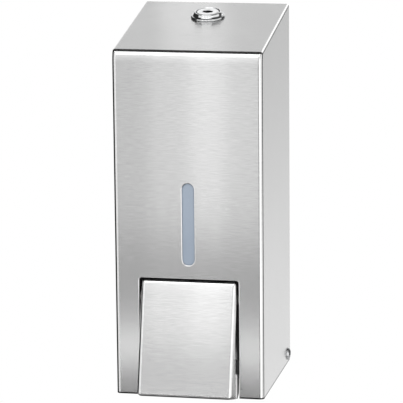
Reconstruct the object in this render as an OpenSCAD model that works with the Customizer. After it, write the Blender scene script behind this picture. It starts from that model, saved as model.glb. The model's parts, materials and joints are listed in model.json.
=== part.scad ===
// Wall-mounted soap dispenser: a brushed steel cover with a push flap, a cam lock and a sight window,
// which tips forward on two rivets and uncovers a soap tank with a piston pump.
// Heights are measured from the cover's lower edge, depths from the wall towards the room (minus Y).

/* [Cover] */
// Width over the two side panels
cover_w = 100; // [96:1:116]
// Depth from the front face to the rear edge
cover_d = 105; // [102:1:120]
// Height of the front face
front_h = 232; // [226:1:260]
// Height at the rear edge
rear_h = 250; // [244:1:280]
// Thickness of the cover's and the flap's sheet
sheet_t = 1.2; // [0.8:0.1:1.5]
// Outer radius of the bends between front and sides
edge_r = 2.2; // [1.8:0.1:4]
// Outer radius of the bend between front and top plate
top_bend_r = 3; // [2:0.1:5]
// Radius of the ground weld between top plate and sides
weld_r = 1; // [0.5:0.1:1.5]
// Radius of the lower rear corners
heel_r = 2.5; // [1:0.1:4]
// Gap between the rear edge and the wall
wall_gap = 1.5; // [1:0.1:3]

/* [Sight window] */
// Width of the slot in the front face
slot_w = 8; // [6:0.5:12]
// Height of the slot
slot_h = 55; // [40:1:60]
// Height of the slot's middle
slot_centre_h = 117; // [116:1:130]
// Rim of the window behind the slot, all round
window_rim = 4; // [3:0.5:6]
// Thickness of the window's rim
window_t = 2; // [1.5:0.1:3]
// How far the window's land lies behind the front face
window_recess = 0.6; // [0.2:0.1:0.7]

/* [Push flap] */
// Width of the opening for the flap
opening_w = 67; // [60:1:72]
// Height of the opening
opening_h = 80; // [78:1:82]
// Radius of the opening's upper corners
opening_r = 2; // [1:0.1:5]
// Gap between flap and opening at each side
flap_side_gap = 1.3; // [1:0.1:2]
// Gap between flap and opening at the top
flap_top_gap = 1.3; // [1:0.1:2]
// Height of the flap's lower edge
flap_bottom_h = 4.4; // [3:0.1:8]
// Tilt of the flap at rest
flap_tilt = 14.7; // [13:0.1:16]
// Distance of the hinge below the opening's upper edge
hinge_drop = 14; // [13:0.5:16]
// Distance of the hinge behind the front face
hinge_back = 7; // [6.5:0.5:8]
// Radius of the hinge pins
hinge_pin_r = 2; // [1.5:0.1:2.2]
// Outer radius of the folds between plate and wings
wing_fold_r = 1.8; // [1.5:0.1:3]
// Outer radius of the fold at the flap's upper edge
flap_crown_r = 3; // [2:0.1:4]
// Outer radius of the fold at the flap's lower edge
flap_hem_r = 1.6; // [1.5:0.1:3]
// Depth of the folded lips at the upper and lower edges
flap_lip = 6; // [5:0.5:8]
// Depth of the wings at the upper edge
wing_top_d = 15; // [14:0.5:18]
// Depth of the wings at the lower edge
wing_bottom_d = 25; // [24:0.5:28]

/* [Lock] */
// Distance of the lock in front of the cover's rear edge
lock_in = 31.3; // [29:0.1:36]
// Radius of the lock's flange
lock_flange_r = 11.5; // [11:0.1:13]
// Radius of the lock's raised face
lock_face_r = 9.3; // [9:0.1:10]
// Height of the lock's raised face
lock_face_h = 3.8; // [3:0.1:5]
// Radius of the lock's barrel
lock_barrel_r = 8; // [7.9:0.05:8.3]
// Length of the barrel below the top plate
lock_barrel_len = 17; // [15:0.5:18]
// Radius of the plug's head
plug_head_r = 7.75; // [7:0.05:7.8]
// Radius of the plug's shaft
plug_shaft_r = 6; // [5:0.1:6.5]
// Width of the key slot
key_slot_w = 4.8; // [4:0.1:7]
// Length of the cam from the lock's axis
cam_len = 20; // [18:0.5:22]
// Width of the cam
cam_w = 10; // [9:0.5:12]

/* [Back plate] */
// Thickness of the back plate, the shelf and the keeper
plate_t = 1.5; // [1.2:0.1:2]
// Gap between the back plate's flanges and the cover's sides
plate_gap = 0.8; // [0.6:0.1:1.2]
// Depth of the side flanges
flange_d = 9; // [7:0.5:10]
// Horizontal distance of the wall screws
screw_dx = 60; // [50:1:66]
// Height of the lower wall screws
screw_foot_h = 38; // [30:1:44]
// Distance of the upper wall screws below the back plate's upper edge
screw_top_gap = 22; // [18:1:28]
// Radius of the wall screw holes
screw_hole_r = 2.75; // [2.2:0.05:3.2]

/* [Cover pivots] */
// Distance of the pivot in front of the cover's rear edge
pivot_in = 8.9; // [8:0.1:12]
// Height of the pivot
pivot_h = 6.1; // [5.5:0.1:8]
// Radius of the rivet's shank
rivet_r = 2.5; // [2:0.1:2.8]
// Radius of the rivet's domed head
rivet_head_r = 4.25; // [4:0.05:5]
// Height of the rivet's domed head
rivet_head_h = 2; // [1.5:0.1:2.5]

/* [Soap tank] */
// Wall of the tank
tank_wall = 2; // [1.5:0.1:2.5]
// Radius of the tank's upright edges
tank_edge_r = 6; // [6:0.5:10]
// Height of the tank's underside
tank_h0 = 86; // [85:0.5:88]
// Free height from the tank's top to the keeper's arm
headroom = 24; // [22:0.5:30]
// Radius of the tank's neck
neck_r = 12; // [11:0.5:13]
// Length of the neck
neck_len = 14; // [13:0.5:15]
// Depth of the lid's lip inside the tank
lid_lip = 3.5; // [3:0.5:5]

/* [Pump] */
// Height of the pump's axis
pump_h = 34; // [33:0.5:35]
// Radius of the pump's bore
bore_r = 9; // [8:0.1:9.5]
// Wall of the pump's cylinder
pump_wall = 3; // [2.5:0.1:3.5]
// Radius of the plunger's rod
rod_r = 4; // [3:0.1:4.4]
// Length of the piston
piston_len = 8; // [7:0.5:9]
// Radius of the push pad
pad_r = 9; // [8:0.5:10]
// Radius of the push pad's dome
dome_r = 15; // [13:0.5:18]
// Length of the return spring at rest
spring_len = 20; // [19:0.5:22]
// Mean radius of the return spring
spring_r = 6.4; // [6.2:0.1:7]
// Thickness of the spring's wire
wire_d = 1.2; // [0.8:0.1:1.4]
// Turns of the return spring
spring_turns = 6; // [5:1:7]
// Height of the spout's tip
spout_h = 4; // [3:0.5:5]

/* [Hidden] */
$fn = 64;

// Clearances: turning and sliding fits, parts that pass each other, and how far a cut runs past a face
run_gap = 0.05;
free_gap = 0.3;
past = 1;

// Colours
steel = "#c9cacb";
bright = "#dfe1e3";
zinc = "#b4b7b9";
milky = "#e9edee";
nylon = "#f1f1ec";
black = "#26282a";
silicone = "#d8dcdc";
glassy = "#9fadba";

// Cover
front_y = -(wall_gap + cover_d);
rear_y = -wall_gap;
inner_front_y = front_y + sheet_t;
inner_half = cover_w / 2 - sheet_t;
top_slope = atan((rear_h - front_h) / cover_d);
sides = [-1, 1];

// Back plate, a tray whose flanges lie just inside the cover's sides
plate_half = inner_half - plate_gap;
flange_half = plate_half - plate_t;
plate_foot_h = 0.5;
plate_top_gap = 10;
plate_top_h = rear_h - plate_top_gap;
screw_dz = plate_top_h - screw_top_gap - screw_foot_h;
screw_centre_h = screw_foot_h + screw_dz / 2;
ear_margin = 8;
ear_d = wall_gap + pivot_in + ear_margin;
ear_h = 20;
small_rivet_r = 1.6;
small_head_r = 3;
small_head_h = 1.2;

// Cover pivots
pivot_y = rear_y - pivot_in;
rivet_tail_lip = 1.3;
rivet_tail_t = 1.2;
head_gap = 0.15;
washer_lip = 3;

// Flap: the hinge, and the plate's outer face and ends as seen from it along the tilted plate
hinge_y = front_y + hinge_back;
hinge_h = opening_h - hinge_drop;
flap_w = opening_w - 2 * flap_side_gap;
hinge_rise = hinge_drop - flap_top_gap;
flap_face = hinge_back * cos(flap_tilt) + hinge_rise * sin(flap_tilt);
flap_up = hinge_rise * cos(flap_tilt) - hinge_back * sin(flap_tilt);
flap_len = (opening_h - flap_top_gap - flap_bottom_h) / cos(flap_tilt);
flap_down = flap_len - flap_up;
flap_foot_r = 3;
wing_top_cut = 3;
wing_foot_cut = 4;
stop_h = 16;
stop_len = 10;
stop_grip = 2.7;
stop_out = flap_side_gap + stop_grip;
hinge_ear_r = 6;
bush_flange_r = 3.6;
bush_flange_t = flap_side_gap - free_gap;
bush_wall = 1;
bush_barrel_r = hinge_pin_r + bush_wall;
pin_head_lip = 1.5;
pin_head_t = 1.2;
pin_tail = 2.6;
clip_t = 0.8;
clip_lip = 2;

// Lock, in a frame on the top plate's outer face with Z along the lock's axis
lock_y = rear_y - lock_in;
lock_h = rear_h - lock_in * tan(top_slope);
lock_rim_h = 1.4;
lock_rim_edge = 0.4;
plug_seat = 1;
plug_sunk = 0.1;
key_slot_t = 1.2;
key_slot_d = 8;
nut_t = 3;
nut_wall = 4.7;
nut_r = lock_barrel_r + nut_wall;
cam_t = 2;
cam_hub_r = 7;
cam_play = 0.2;
tail_r = 3.5;
tail_flat = 5;
cam_screw_r = 1.5;
cam_screw_head_r = 4.5;
cam_screw_head_t = 2;
cam_screw_len = 7;
cam_drop = lock_barrel_len + cam_play + cam_t / 2;
cam_y = lock_y + cam_drop * sin(top_slope);
cam_h = lock_h - cam_drop * cos(top_slope);

// Keeper: an arm below the cam with a turned-up lip just in front of the locked cam
keeper_in = nut_r + free_gap;
keeper_past = 3;
keeper_out = cam_len + keeper_past;
keeper_gap = 0.6;
keeper_drop = 9;
keeper_rise = 5;
keeper_arm_h = cam_h - keeper_drop;
keeper_lip_h = cam_h + keeper_rise;
keeper_foot = 16;
keeper_lip_y = cam_y - cam_w / 2 * cos(top_slope) - cam_t * sin(top_slope) - keeper_gap - plate_t;

// Tank, between the back plate's flanges and on the shelf
tank_side_gap = 1.5;
tank_front_gap = 8;
tank_rear_gap = 9.5;
tank_half = flange_half - tank_side_gap;
tank_front_y = inner_front_y + tank_front_gap;
tank_rear_y = -(plate_t + tank_rear_gap);
tank_d = tank_rear_y - tank_front_y;
tank_y = (tank_rear_y + tank_front_y) / 2;
tank_top_h = keeper_arm_h - plate_t - headroom;
neck_wall = 3;
neck_bore_r = neck_r - neck_wall;
neck_h0 = tank_h0 - neck_len;
seal_t = 1;
lid_wall = 1.8;
lid_gap = 0.15;
lid_h0 = tank_top_h + seal_t;
lid_top_h = lid_h0 + lid_wall;
grip_len = 40;
grip_w = 6;
grip_h = 4;

// Shelf
shelf_half = flange_half - free_gap;
shelf_front_gap = 4;
shelf_drop = 24;
shelf_rivet_drop = 16;
shelf_front_y = tank_front_y + shelf_front_gap;
shelf_foot_h = tank_h0 - plate_t - shelf_drop;
shelf_rivet_h = tank_h0 - plate_t - shelf_rivet_drop;
shelf_rivet_step = 24;
gusset_d = 60;

// Pump, with its bore along Y and the neck's pipe from above
pump_r = bore_r + pump_wall;
touch_gap = 0.3;
push_arm = hinge_h - pump_h;
dome_y = hinge_y
    + (dome_r + touch_gap - flap_face + sheet_t - push_arm * sin(flap_tilt)) / cos(flap_tilt);
pad_tip_y = dome_y - dome_r;
pad_t = 4.2;
pad_socket = 2;
seat_t = 2;
pad_rear_y = pad_tip_y + pad_t;
seat_rear_y = pad_rear_y + seat_t;
gland_front_y = seat_rear_y + spring_len;
gland_wall = 4;
gland_skirt = 5;
gland_ring = 2.5;
gland_r = pump_r + gland_ring;
pump_front_y = gland_front_y + gland_wall;
piston_in = 5;
piston_front_y = pump_front_y + piston_in;
piston_r = bore_r - free_gap;
ring_r = 1.2;
ring_mean_r = bore_r - run_gap - ring_r;
groove_r = ring_mean_r - ring_r - run_gap;
groove_w = 2 * ring_r + free_gap;
port_r = 3;
collar_lip = 2;
pipe_r = neck_r - collar_lip;
pipe_bore_r = 5;
port_end = 1;
pump_end_wall = 4;
pump_end_y = tank_y + port_r + port_end;
pump_rear_y = pump_end_y + pump_end_wall;
gasket_t = 2;
pipe_top_h = neck_h0 - gasket_t;
collar_t = 4;
nut_floor = 4;
nut_side = 4;
union_h0 = pipe_top_h - collar_t - nut_floor;
union_gap = 2.5;
union_h1 = tank_h0 - plate_t - union_gap;
valve_rim_gap = 1;
valve_flange_r = neck_bore_r - valve_rim_gap;
valve_flange_t = 1.5;
valve_r = 4.4;
valve_len = 8;
valve_wall = 1.2;
valve_lip_r = 1.4;
boss_r = 8;
boss_len = 7;
boss_h0 = pump_h - pump_r - boss_len;
spout_wall = 2;
spout_top_gap = 0.5;
spout_top_h = pump_h - pump_r - spout_top_gap;
spout_floor_h = boss_h0 - valve_flange_t;
spout_bore_r = 4.8;
spout_tip_r = 5;
spout_tip_bore_r = 3;
spout_tip_len = 3;
spout_tip_h = spout_h + spout_tip_len;

// Spring: closed end turns of close pitch and wider turns between them
end_gap = 0.6;
end_pitch = wire_d + end_gap;
end_turns = 0.75;
turn_rings = 8;
wire_sides = 6;
spring_rings = spring_turns * turn_rings;
half_turn = turn_rings / 2;
spring_rise = spring_len - wire_d - 2 * run_gap;
mid_pitch = (spring_rise - 2 * end_turns * end_pitch) / (spring_turns - 2 * end_turns);

// Places of a piece in the row: heights from the cover's lower edge, and the tilted frames
module from_base() translate([0, 0, -screw_centre_h]) children();
module along_x(len) rotate([90, 0, 90]) linear_extrude(len, center = true) children();
module along_y(y0, y1) translate([0, y1, 0]) rotate([90, 0, 0]) linear_extrude(y1 - y0) children();
module in_flap() translate([0, hinge_y, hinge_h]) rotate([-flap_tilt, 0, 0]) children();
module in_lock() translate([0, lock_y, lock_h]) rotate([top_slope, 0, 0]) children();
module in_pump() translate([0, 0, pump_h]) rotate([-90, 0, 0]) children();
module in_neck() translate([0, tank_y, 0]) children();

// A ring or tube from z0 to z1
module tube(outer, inner, z0, z1) {
    difference() {
        translate([0, 0, z0]) cylinder(h = z1 - z0, r = outer);
        translate([0, 0, z0 - past]) cylinder(h = z1 - z0 + 2 * past, r = inner);
    }
}

// A disc or rod from z0 to z1
module disc(r, z0, z1) translate([0, 0, z0]) cylinder(h = z1 - z0, r = r);

// A plate outline that hangs down from y = 0, with round upper corners
module round_top(w, r, drop) {
    translate([-w / 2, -drop]) square([w, drop - r]);
    translate([-w / 2 + r, -2 * r]) square([w - 2 * r, 2 * r]);
    for (s = sides) translate([s * (w / 2 - r), -r]) circle(r);
}

// A slot outline with round ends, standing on its middle
module stadium(w, h) {
    square([w, h - w], center = true);
    for (s = sides) translate([0, s * (h - w) / 2]) circle(w / 2);
}

// A rectangle with four round corners
module round_square(w, d, r) {
    square([w, d - 2 * r], center = true);
    square([w - 2 * r, d], center = true);
    for (sx = sides, sy = sides) translate([sx * (w / 2 - r), sy * (d / 2 - r)]) circle(r);
}

// Side outline of the cover, set in by the sheet for its inside, which runs out at rear and bottom
module side_outline(inset, rear, bottom) {
    r = top_bend_r - inset;
    face_y = front_y + inset;
    bend_y = face_y + r;
    bend_h = front_h + (bend_y - front_y) * tan(top_slope) - (inset + r) / cos(top_slope);
    top_h = front_h + (rear - front_y) * tan(top_slope) - inset / cos(top_slope);
    polygon([
        [face_y, bottom], [face_y, bend_h],
        [bend_y - r * sin(top_slope), bend_h + r * cos(top_slope)],
        [rear, top_h], [rear, heel_r], [rear - heel_r, bottom]
    ]);
    translate([bend_y, bend_h]) circle(r);
    translate([rear - heel_r, bottom + heel_r]) circle(heel_r);
}

// The cover's outside, or its inside at the sheet's depth: side, plan and top outlines crossed
module cover_form(inset, rear, bottom) {
    w = cover_w - 2 * inset;
    reach = 2 * rear_h;
    intersection() {
        along_x(cover_w + past) side_outline(inset, rear, bottom);
        translate([0, front_y + inset, bottom - past]) linear_extrude(reach)
            mirror([0, 1]) round_top(w, edge_r - inset, cover_d + 3 * past + heel_r);
        translate([0, front_y, front_h]) rotate([top_slope, 0, 0]) translate([0, 0, -inset])
            rotate([90, 0, 0]) linear_extrude(reach, center = true)
            round_top(w, max(weld_r - inset, weld_r / 4), reach);
    }
}

module cover() {
    ear_t = sheet_t;
    color(steel) from_base() difference() {
        union() {
            difference() {
                cover_form(0, rear_y, 0);
                cover_form(sheet_t, rear_y + heel_r + past, -heel_r - past);
            }
            // Ears folded back from the opening's side edges, which hold the flap's hinge
            for (s = sides) translate([s * (opening_w + ear_t) / 2, 0, hinge_h]) along_x(ear_t) union() {
                translate([front_y + sheet_t / 2, -hinge_ear_r])
                    square([hinge_back - sheet_t / 2, 2 * hinge_ear_r]);
                translate([hinge_y, 0]) circle(hinge_ear_r);
            }
        }
        along_y(front_y - past, inner_front_y + past) translate([0, opening_h])
            round_top(opening_w, opening_r, opening_h + past);
        along_y(front_y - past, inner_front_y + past) translate([0, slot_centre_h])
            stadium(slot_w, slot_h);
        in_lock() disc(lock_barrel_r + run_gap, -sheet_t - past, past);
        translate([0, pivot_y, pivot_h]) along_x(cover_w + past) circle(rivet_r + run_gap);
        translate([0, hinge_y, hinge_h]) along_x(opening_w + 2 * ear_t + past) circle(bush_barrel_r);
    }
}

module sight_window() {
    land_y = front_y + window_recess;
    color(glassy) from_base() translate([0, 0, slot_centre_h]) union() {
        along_y(inner_front_y, inner_front_y + window_t)
            stadium(slot_w + 2 * window_rim, slot_h + 2 * window_rim);
        along_y(land_y, inner_front_y + window_t / 2)
            stadium(slot_w - 2 * run_gap, slot_h - 2 * run_gap);
    }
}

module lock_housing() {
    color(bright) from_base() in_lock() difference() {
        union() {
            rotate_extrude() polygon([
                [0, 0], [lock_flange_r - lock_rim_edge, 0], [lock_flange_r, lock_rim_edge],
                [lock_flange_r, lock_rim_h - lock_rim_edge], [lock_flange_r - lock_rim_edge, lock_rim_h],
                [lock_face_r, lock_face_h - lock_rim_edge], [lock_face_r - lock_rim_edge, lock_face_h],
                [0, lock_face_h]
            ]);
            disc(lock_barrel_r, -lock_barrel_len, lock_rim_h);
        }
        disc(plug_head_r + run_gap, plug_seat, lock_face_h + past);
        disc(plug_shaft_r + run_gap, -lock_barrel_len - past, plug_seat + past);
    }
}

module lock_nut() {
    color(zinc) from_base() in_lock() difference() {
        translate([0, 0, -sheet_t - nut_t]) cylinder(h = nut_t, r = nut_r, $fn = 6);
        disc(lock_barrel_r + run_gap, -sheet_t - nut_t - past, 0);
    }
}

// The plug's tail with two flats, which also cuts the cam's hole
module plug_tail(z0, z1) {
    intersection() {
        disc(tail_r, z0, z1);
        translate([-tail_r, -tail_flat / 2, z0]) cube([2 * tail_r, tail_flat, z1 - z0]);
    }
}

module lock_plug() {
    shoulder = -lock_barrel_len - cam_play;
    color(bright) from_base() in_lock() difference() {
        union() {
            disc(plug_head_r, plug_seat, lock_face_h - plug_sunk);
            disc(plug_shaft_r, shoulder, plug_seat + past / 2);
            plug_tail(shoulder - cam_t, shoulder + past);
        }
        disc(key_slot_w / 4, lock_face_h - key_slot_d, lock_face_h + past);
        translate([-key_slot_w / 2, -key_slot_t / 2, lock_face_h - key_slot_d])
            cube([key_slot_w, key_slot_t, key_slot_d + past]);
        disc(cam_screw_r, shoulder - cam_t - past, shoulder - cam_t + cam_screw_len);
    }
}

module lock_cam() {
    top = -lock_barrel_len - cam_play;
    color(zinc) from_base() in_lock() difference() {
        translate([0, 0, top - cam_t]) linear_extrude(cam_t) union() {
            circle(cam_hub_r);
            translate([-cam_w / 2, 0]) square([cam_w, cam_len - cam_w / 2]);
            translate([0, cam_len - cam_w / 2]) circle(cam_w / 2);
        }
        plug_tail(top - cam_t - past, top + past);
    }
}

module cam_screw() {
    seat = -lock_barrel_len - cam_play - cam_t;
    color(zinc) from_base() in_lock() difference() {
        union() {
            disc(cam_screw_head_r, seat - cam_screw_head_t, seat);
            disc(cam_screw_r, seat - cam_screw_head_t / 2, seat + cam_screw_len - free_gap);
        }
        translate([-cam_w, -key_slot_t / 2, seat - cam_screw_head_t - past])
            cube([2 * cam_w, key_slot_t, past + cam_screw_head_t / 2]);
    }
}

// Side outline of the flap as seen from its hinge, with folded upper and lower edges and sloping wings
module flap_outline() {
    rear_top = wing_top_d - flap_face;
    rear_bottom = wing_bottom_d - flap_face;
    polygon([
        [-flap_face, -flap_down + flap_hem_r], [-flap_face, flap_up - flap_crown_r],
        [-flap_face + flap_crown_r, flap_up], [rear_top - wing_top_cut, flap_up],
        [rear_top, flap_up - wing_top_cut], [rear_bottom, -flap_down + wing_foot_cut],
        [rear_bottom - wing_foot_cut, -flap_down],
        [-flap_face + flap_hem_r, -flap_down]
    ]);
    translate([-flap_face + flap_crown_r, flap_up - flap_crown_r]) circle(flap_crown_r);
    translate([-flap_face + flap_hem_r, -flap_down + flap_hem_r]) circle(flap_hem_r);
}

// The room inside the flap, behind its plate and between its lips
module flap_inside() {
    back = wing_bottom_d + past;
    bend = flap_crown_r - sheet_t;
    y0 = -flap_face + sheet_t;
    y1 = -flap_face + flap_lip;
    polygon([
        [y0, -flap_down + sheet_t], [y1, -flap_down + sheet_t], [y1, -flap_down - past],
        [back, -flap_down - past], [back, flap_up + past], [y1, flap_up + past],
        [y1, flap_up - sheet_t], [y0 + bend, flap_up - sheet_t], [y0, flap_up - sheet_t - bend]
    ]);
    translate([y0 + bend, flap_up - sheet_t - bend]) circle(bend);
}

module push_flap() {
    plan_d = wing_bottom_d + flap_face + past;
    stop_y = inner_front_y + free_gap;
    color(steel) from_base() difference() {
        union() {
            in_flap() difference() {
                intersection() {
                    along_x(flap_w + past) flap_outline();
                    translate([0, -flap_face, -flap_down - past]) linear_extrude(flap_len + 2 * past)
                        mirror([0, 1]) round_top(flap_w, wing_fold_r, plan_d);
                    along_y(-flap_face - past, wing_bottom_d) translate([0, -flap_down])
                        mirror([0, 1]) round_top(flap_w, flap_foot_r, flap_len + past);
                }
                intersection() {
                    along_x(flap_w - 2 * sheet_t) flap_inside();
                    translate([0, -flap_face + sheet_t, -flap_down - 2 * past])
                        linear_extrude(flap_len + 4 * past)
                        mirror([0, 1]) round_top(flap_w - 2 * sheet_t, wing_fold_r - sheet_t, plan_d);
                }
            }
            // Tabs bent out of the wings, which meet the cover's front from behind at rest
            for (s = sides)
                translate([s * (flap_w + stop_out) / 2, stop_y + sheet_t / 2, stop_h + stop_len / 2])
                cube([stop_out + sheet_t, sheet_t, stop_len], center = true);
        }
        translate([0, hinge_y, hinge_h]) along_x(flap_w + past) circle(hinge_pin_r);
    }
}

// A pair of pieces on the flap's hinge, each turned outlines or discs with Z outward from the middle
module on_hinge() {
    for (s = sides) translate([0, hinge_y, hinge_h]) rotate([0, s * 90, 0]) children();
}

module hinge_pins() {
    wing_in = flap_w / 2 - sheet_t;
    color(zinc) from_base() on_hinge() union() {
        disc(hinge_pin_r + pin_head_lip, wing_in - pin_head_t, wing_in);
        disc(hinge_pin_r, wing_in - pin_head_t / 2, opening_w / 2 + sheet_t + pin_tail);
    }
}

module pin_clips() {
    seat = opening_w / 2 + sheet_t + free_gap;
    color(zinc) from_base() on_hinge() tube(hinge_pin_r + clip_lip, hinge_pin_r, seat, seat + clip_t);
}

module flap_bushes() {
    ear_in = opening_w / 2;
    color(nylon) from_base() on_hinge() difference() {
        union() {
            disc(bush_flange_r, ear_in - bush_flange_t, ear_in);
            disc(bush_barrel_r, ear_in - bush_flange_t / 2, ear_in + sheet_t);
        }
        disc(hinge_pin_r + run_gap, ear_in - bush_flange_t - past, ear_in + sheet_t + past);
    }
}

module back_plate() {
    side = [
        [0, plate_foot_h], [0, plate_top_h], [-flange_d / 2, plate_top_h],
        [-flange_d, plate_top_h - flange_d / 2], [-flange_d, ear_h + ear_d - flange_d],
        [-ear_d, ear_h], [-ear_d, plate_foot_h]
    ];
    color(black) from_base() difference() {
        union() {
            translate([-plate_half, -plate_t, plate_foot_h])
                cube([2 * plate_half, plate_t, plate_top_h - plate_foot_h]);
            for (s = sides) translate([s * (plate_half - plate_t / 2), 0, 0])
                along_x(plate_t) polygon(side);
        }
        for (sx = sides, sz = sides) along_y(-plate_t - past, past)
            translate([sx * screw_dx / 2, screw_centre_h + sz * screw_dz / 2]) circle(screw_hole_r);
        translate([0, pivot_y, pivot_h]) along_x(cover_w) circle(rivet_r);
        small_rivet_places() along_y(-plate_t - past, past) circle(small_rivet_r);
    }
}

// Where the shelf's and the keeper's small rivets sit
module shelf_rivet_places() {
    for (i = [-1.5:1:1.5]) translate([i * shelf_rivet_step, 0, shelf_rivet_h]) children();
}

module keeper_rivet_places() {
    for (i = [0.32, 0.75])
        translate([-(keeper_in + keeper_out) / 2, 0, keeper_arm_h - keeper_foot * i]) children();
}

module small_rivet_places() {
    shelf_rivet_places() children();
    keeper_rivet_places() children();
}

// A rivet, flush at the wall, with its head on a bracket of the plate's thickness
module small_rivet() {
    rotate([90, 0, 0]) union() {
        disc(small_rivet_r, 0, 2 * plate_t + small_head_h / 2);
        disc(small_head_r, 2 * plate_t, 2 * plate_t + small_head_h);
    }
}

module shelf_rivets() color(bright) from_base() shelf_rivet_places() small_rivet();

module keeper_rivets() color(bright) from_base() keeper_rivet_places() small_rivet();

module tank_shelf() {
    color(black) from_base() difference() {
        union() {
            translate([-shelf_half, shelf_front_y, tank_h0 - plate_t])
                cube([2 * shelf_half, -plate_t - shelf_front_y, plate_t]);
            translate([-shelf_half, -2 * plate_t, shelf_foot_h])
                cube([2 * shelf_half, plate_t, tank_h0 - shelf_foot_h]);
            for (s = sides) translate([s * (shelf_half - plate_t / 2), 0, 0]) along_x(plate_t) polygon([
                [-plate_t, tank_h0 - plate_t / 2], [-gusset_d, tank_h0 - plate_t / 2],
                [-gusset_d, tank_h0 - 2 * plate_t], [-3 * plate_t, shelf_foot_h], [-plate_t, shelf_foot_h]
            ]);
        }
        in_neck() disc(neck_r + free_gap, tank_h0 - plate_t - past, tank_h0 + past);
        shelf_rivet_places() along_y(-2 * plate_t - past, past) circle(small_rivet_r);
    }
}

module lock_keeper() {
    w = keeper_out - keeper_in;
    color(black) from_base() difference() {
        translate([-keeper_out, 0, 0]) union() {
            translate([0, -2 * plate_t, keeper_arm_h - keeper_foot]) cube([w, plate_t, keeper_foot]);
            translate([0, keeper_lip_y, keeper_arm_h - plate_t])
                cube([w, -plate_t - keeper_lip_y, plate_t]);
            translate([0, keeper_lip_y, keeper_arm_h - plate_t])
                cube([w, plate_t, keeper_lip_h - keeper_arm_h + plate_t]);
        }
        keeper_rivet_places() along_y(-2 * plate_t - past, past) circle(small_rivet_r);
    }
}

// The pivots' axis, with Z outward at each side
module on_pivot() {
    for (s = sides) translate([0, pivot_y, pivot_h]) rotate([0, s * 90, 0]) children();
}

module pivot_rivets() {
    seat = cover_w / 2 + head_gap;
    ball = (rivet_head_r * rivet_head_r + rivet_head_h * rivet_head_h) / (2 * rivet_head_h);
    color(bright) from_base() on_pivot() union() {
        intersection() {
            translate([0, 0, seat + rivet_head_h - ball]) sphere(ball);
            disc(rivet_head_r + past, seat, seat + rivet_head_h + past);
        }
        disc(rivet_r, flange_half - rivet_tail_t / 2, seat + rivet_head_h / 2);
        disc(rivet_r + rivet_tail_lip, flange_half - rivet_tail_t, flange_half);
    }
}

module pivot_washers() {
    color(nylon) from_base() on_pivot()
        tube(rivet_r + washer_lip, rivet_r + run_gap, plate_half + run_gap, inner_half - run_gap);
}

// The tank's outline, set in from its outside
module tank_outline(inset) round_square(2 * (tank_half - inset), tank_d - 2 * inset, tank_edge_r - inset);

module soap_tank() {
    color(milky) from_base() in_neck() difference() {
        union() {
            translate([0, 0, tank_h0]) linear_extrude(tank_top_h - tank_h0) tank_outline(0);
            disc(neck_r, neck_h0, tank_h0 + tank_wall / 2);
        }
        translate([0, 0, tank_h0 + tank_wall]) linear_extrude(tank_top_h - tank_h0) tank_outline(tank_wall);
        disc(neck_bore_r, neck_h0 - past, tank_h0 + tank_wall + past);
    }
}

module tank_lid() {
    lip_in = tank_wall + lid_gap;
    color(nylon) from_base() in_neck() union() {
        translate([0, 0, lid_h0]) linear_extrude(lid_wall) tank_outline(0);
        translate([0, 0, lid_h0 - lid_lip]) linear_extrude(lid_lip + lid_wall / 2) difference() {
            tank_outline(lip_in);
            tank_outline(lip_in + lid_wall);
        }
        translate([-grip_len / 2, -grip_w / 2, lid_top_h - lid_wall / 2])
            cube([grip_len, grip_w, grip_h + lid_wall / 2]);
    }
}

module lid_seal() {
    color(silicone) from_base() in_neck() translate([0, 0, tank_top_h])
        linear_extrude(seal_t) difference() {
            tank_outline(0);
            tank_outline(tank_wall);
        }
}

module neck_gasket() {
    color(black) from_base() in_neck() tube(neck_r, pipe_bore_r, pipe_top_h, neck_h0);
}

module union_nut() {
    color(black) from_base() in_neck() difference() {
        translate([0, 0, union_h0]) cylinder(h = union_h1 - union_h0, r = neck_r + nut_side, $fn = 8);
        disc(pipe_r + run_gap, union_h0 - past, union_h1);
        disc(neck_r + run_gap, pipe_top_h - collar_t, union_h1 + past);
    }
}

module pump_body() {
    color(black) from_base() difference() {
        union() {
            in_pump() disc(pump_r, pump_front_y, pump_rear_y);
            in_neck() disc(pipe_r, pump_h, pipe_top_h - collar_t / 2);
            in_neck() disc(neck_r, pipe_top_h - collar_t, pipe_top_h);
            in_neck() disc(boss_r, boss_h0, pump_h);
        }
        in_pump() disc(bore_r, pump_front_y - past, pump_end_y);
        in_neck() disc(pipe_bore_r, pump_h + bore_r + pump_wall, pipe_top_h + past);
        in_neck() disc(port_r, boss_h0 - past, pipe_top_h);
        in_neck() disc(valve_flange_r + run_gap, pipe_top_h - valve_flange_t, pipe_top_h + past);
    }
}

module pump_gland() {
    color(black) from_base() in_pump() difference() {
        disc(gland_r, gland_front_y, pump_front_y + gland_skirt);
        disc(rod_r + run_gap, gland_front_y - past, pump_front_y + past);
        disc(pump_r + run_gap, pump_front_y, pump_front_y + gland_skirt + past);
    }
}

// A soft valve: a flange, and a sleeve that narrows to a closed lip below it
module lip_valve(top) {
    seat = top - valve_flange_t;
    tip = seat - valve_len;
    wall = valve_wall;
    rotate_extrude() polygon([
        [valve_r - wall, top], [valve_flange_r, top], [valve_flange_r, seat], [valve_r, seat],
        [valve_r, seat - valve_len / 3], [valve_lip_r, tip], [0, tip], [0, tip + wall],
        [valve_r - wall, seat - valve_len / 3]
    ]);
}

module inlet_valve() color(silicone) from_base() in_neck() lip_valve(pipe_top_h);

module outlet_valve() color(silicone) from_base() in_neck() lip_valve(boss_h0);

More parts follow.
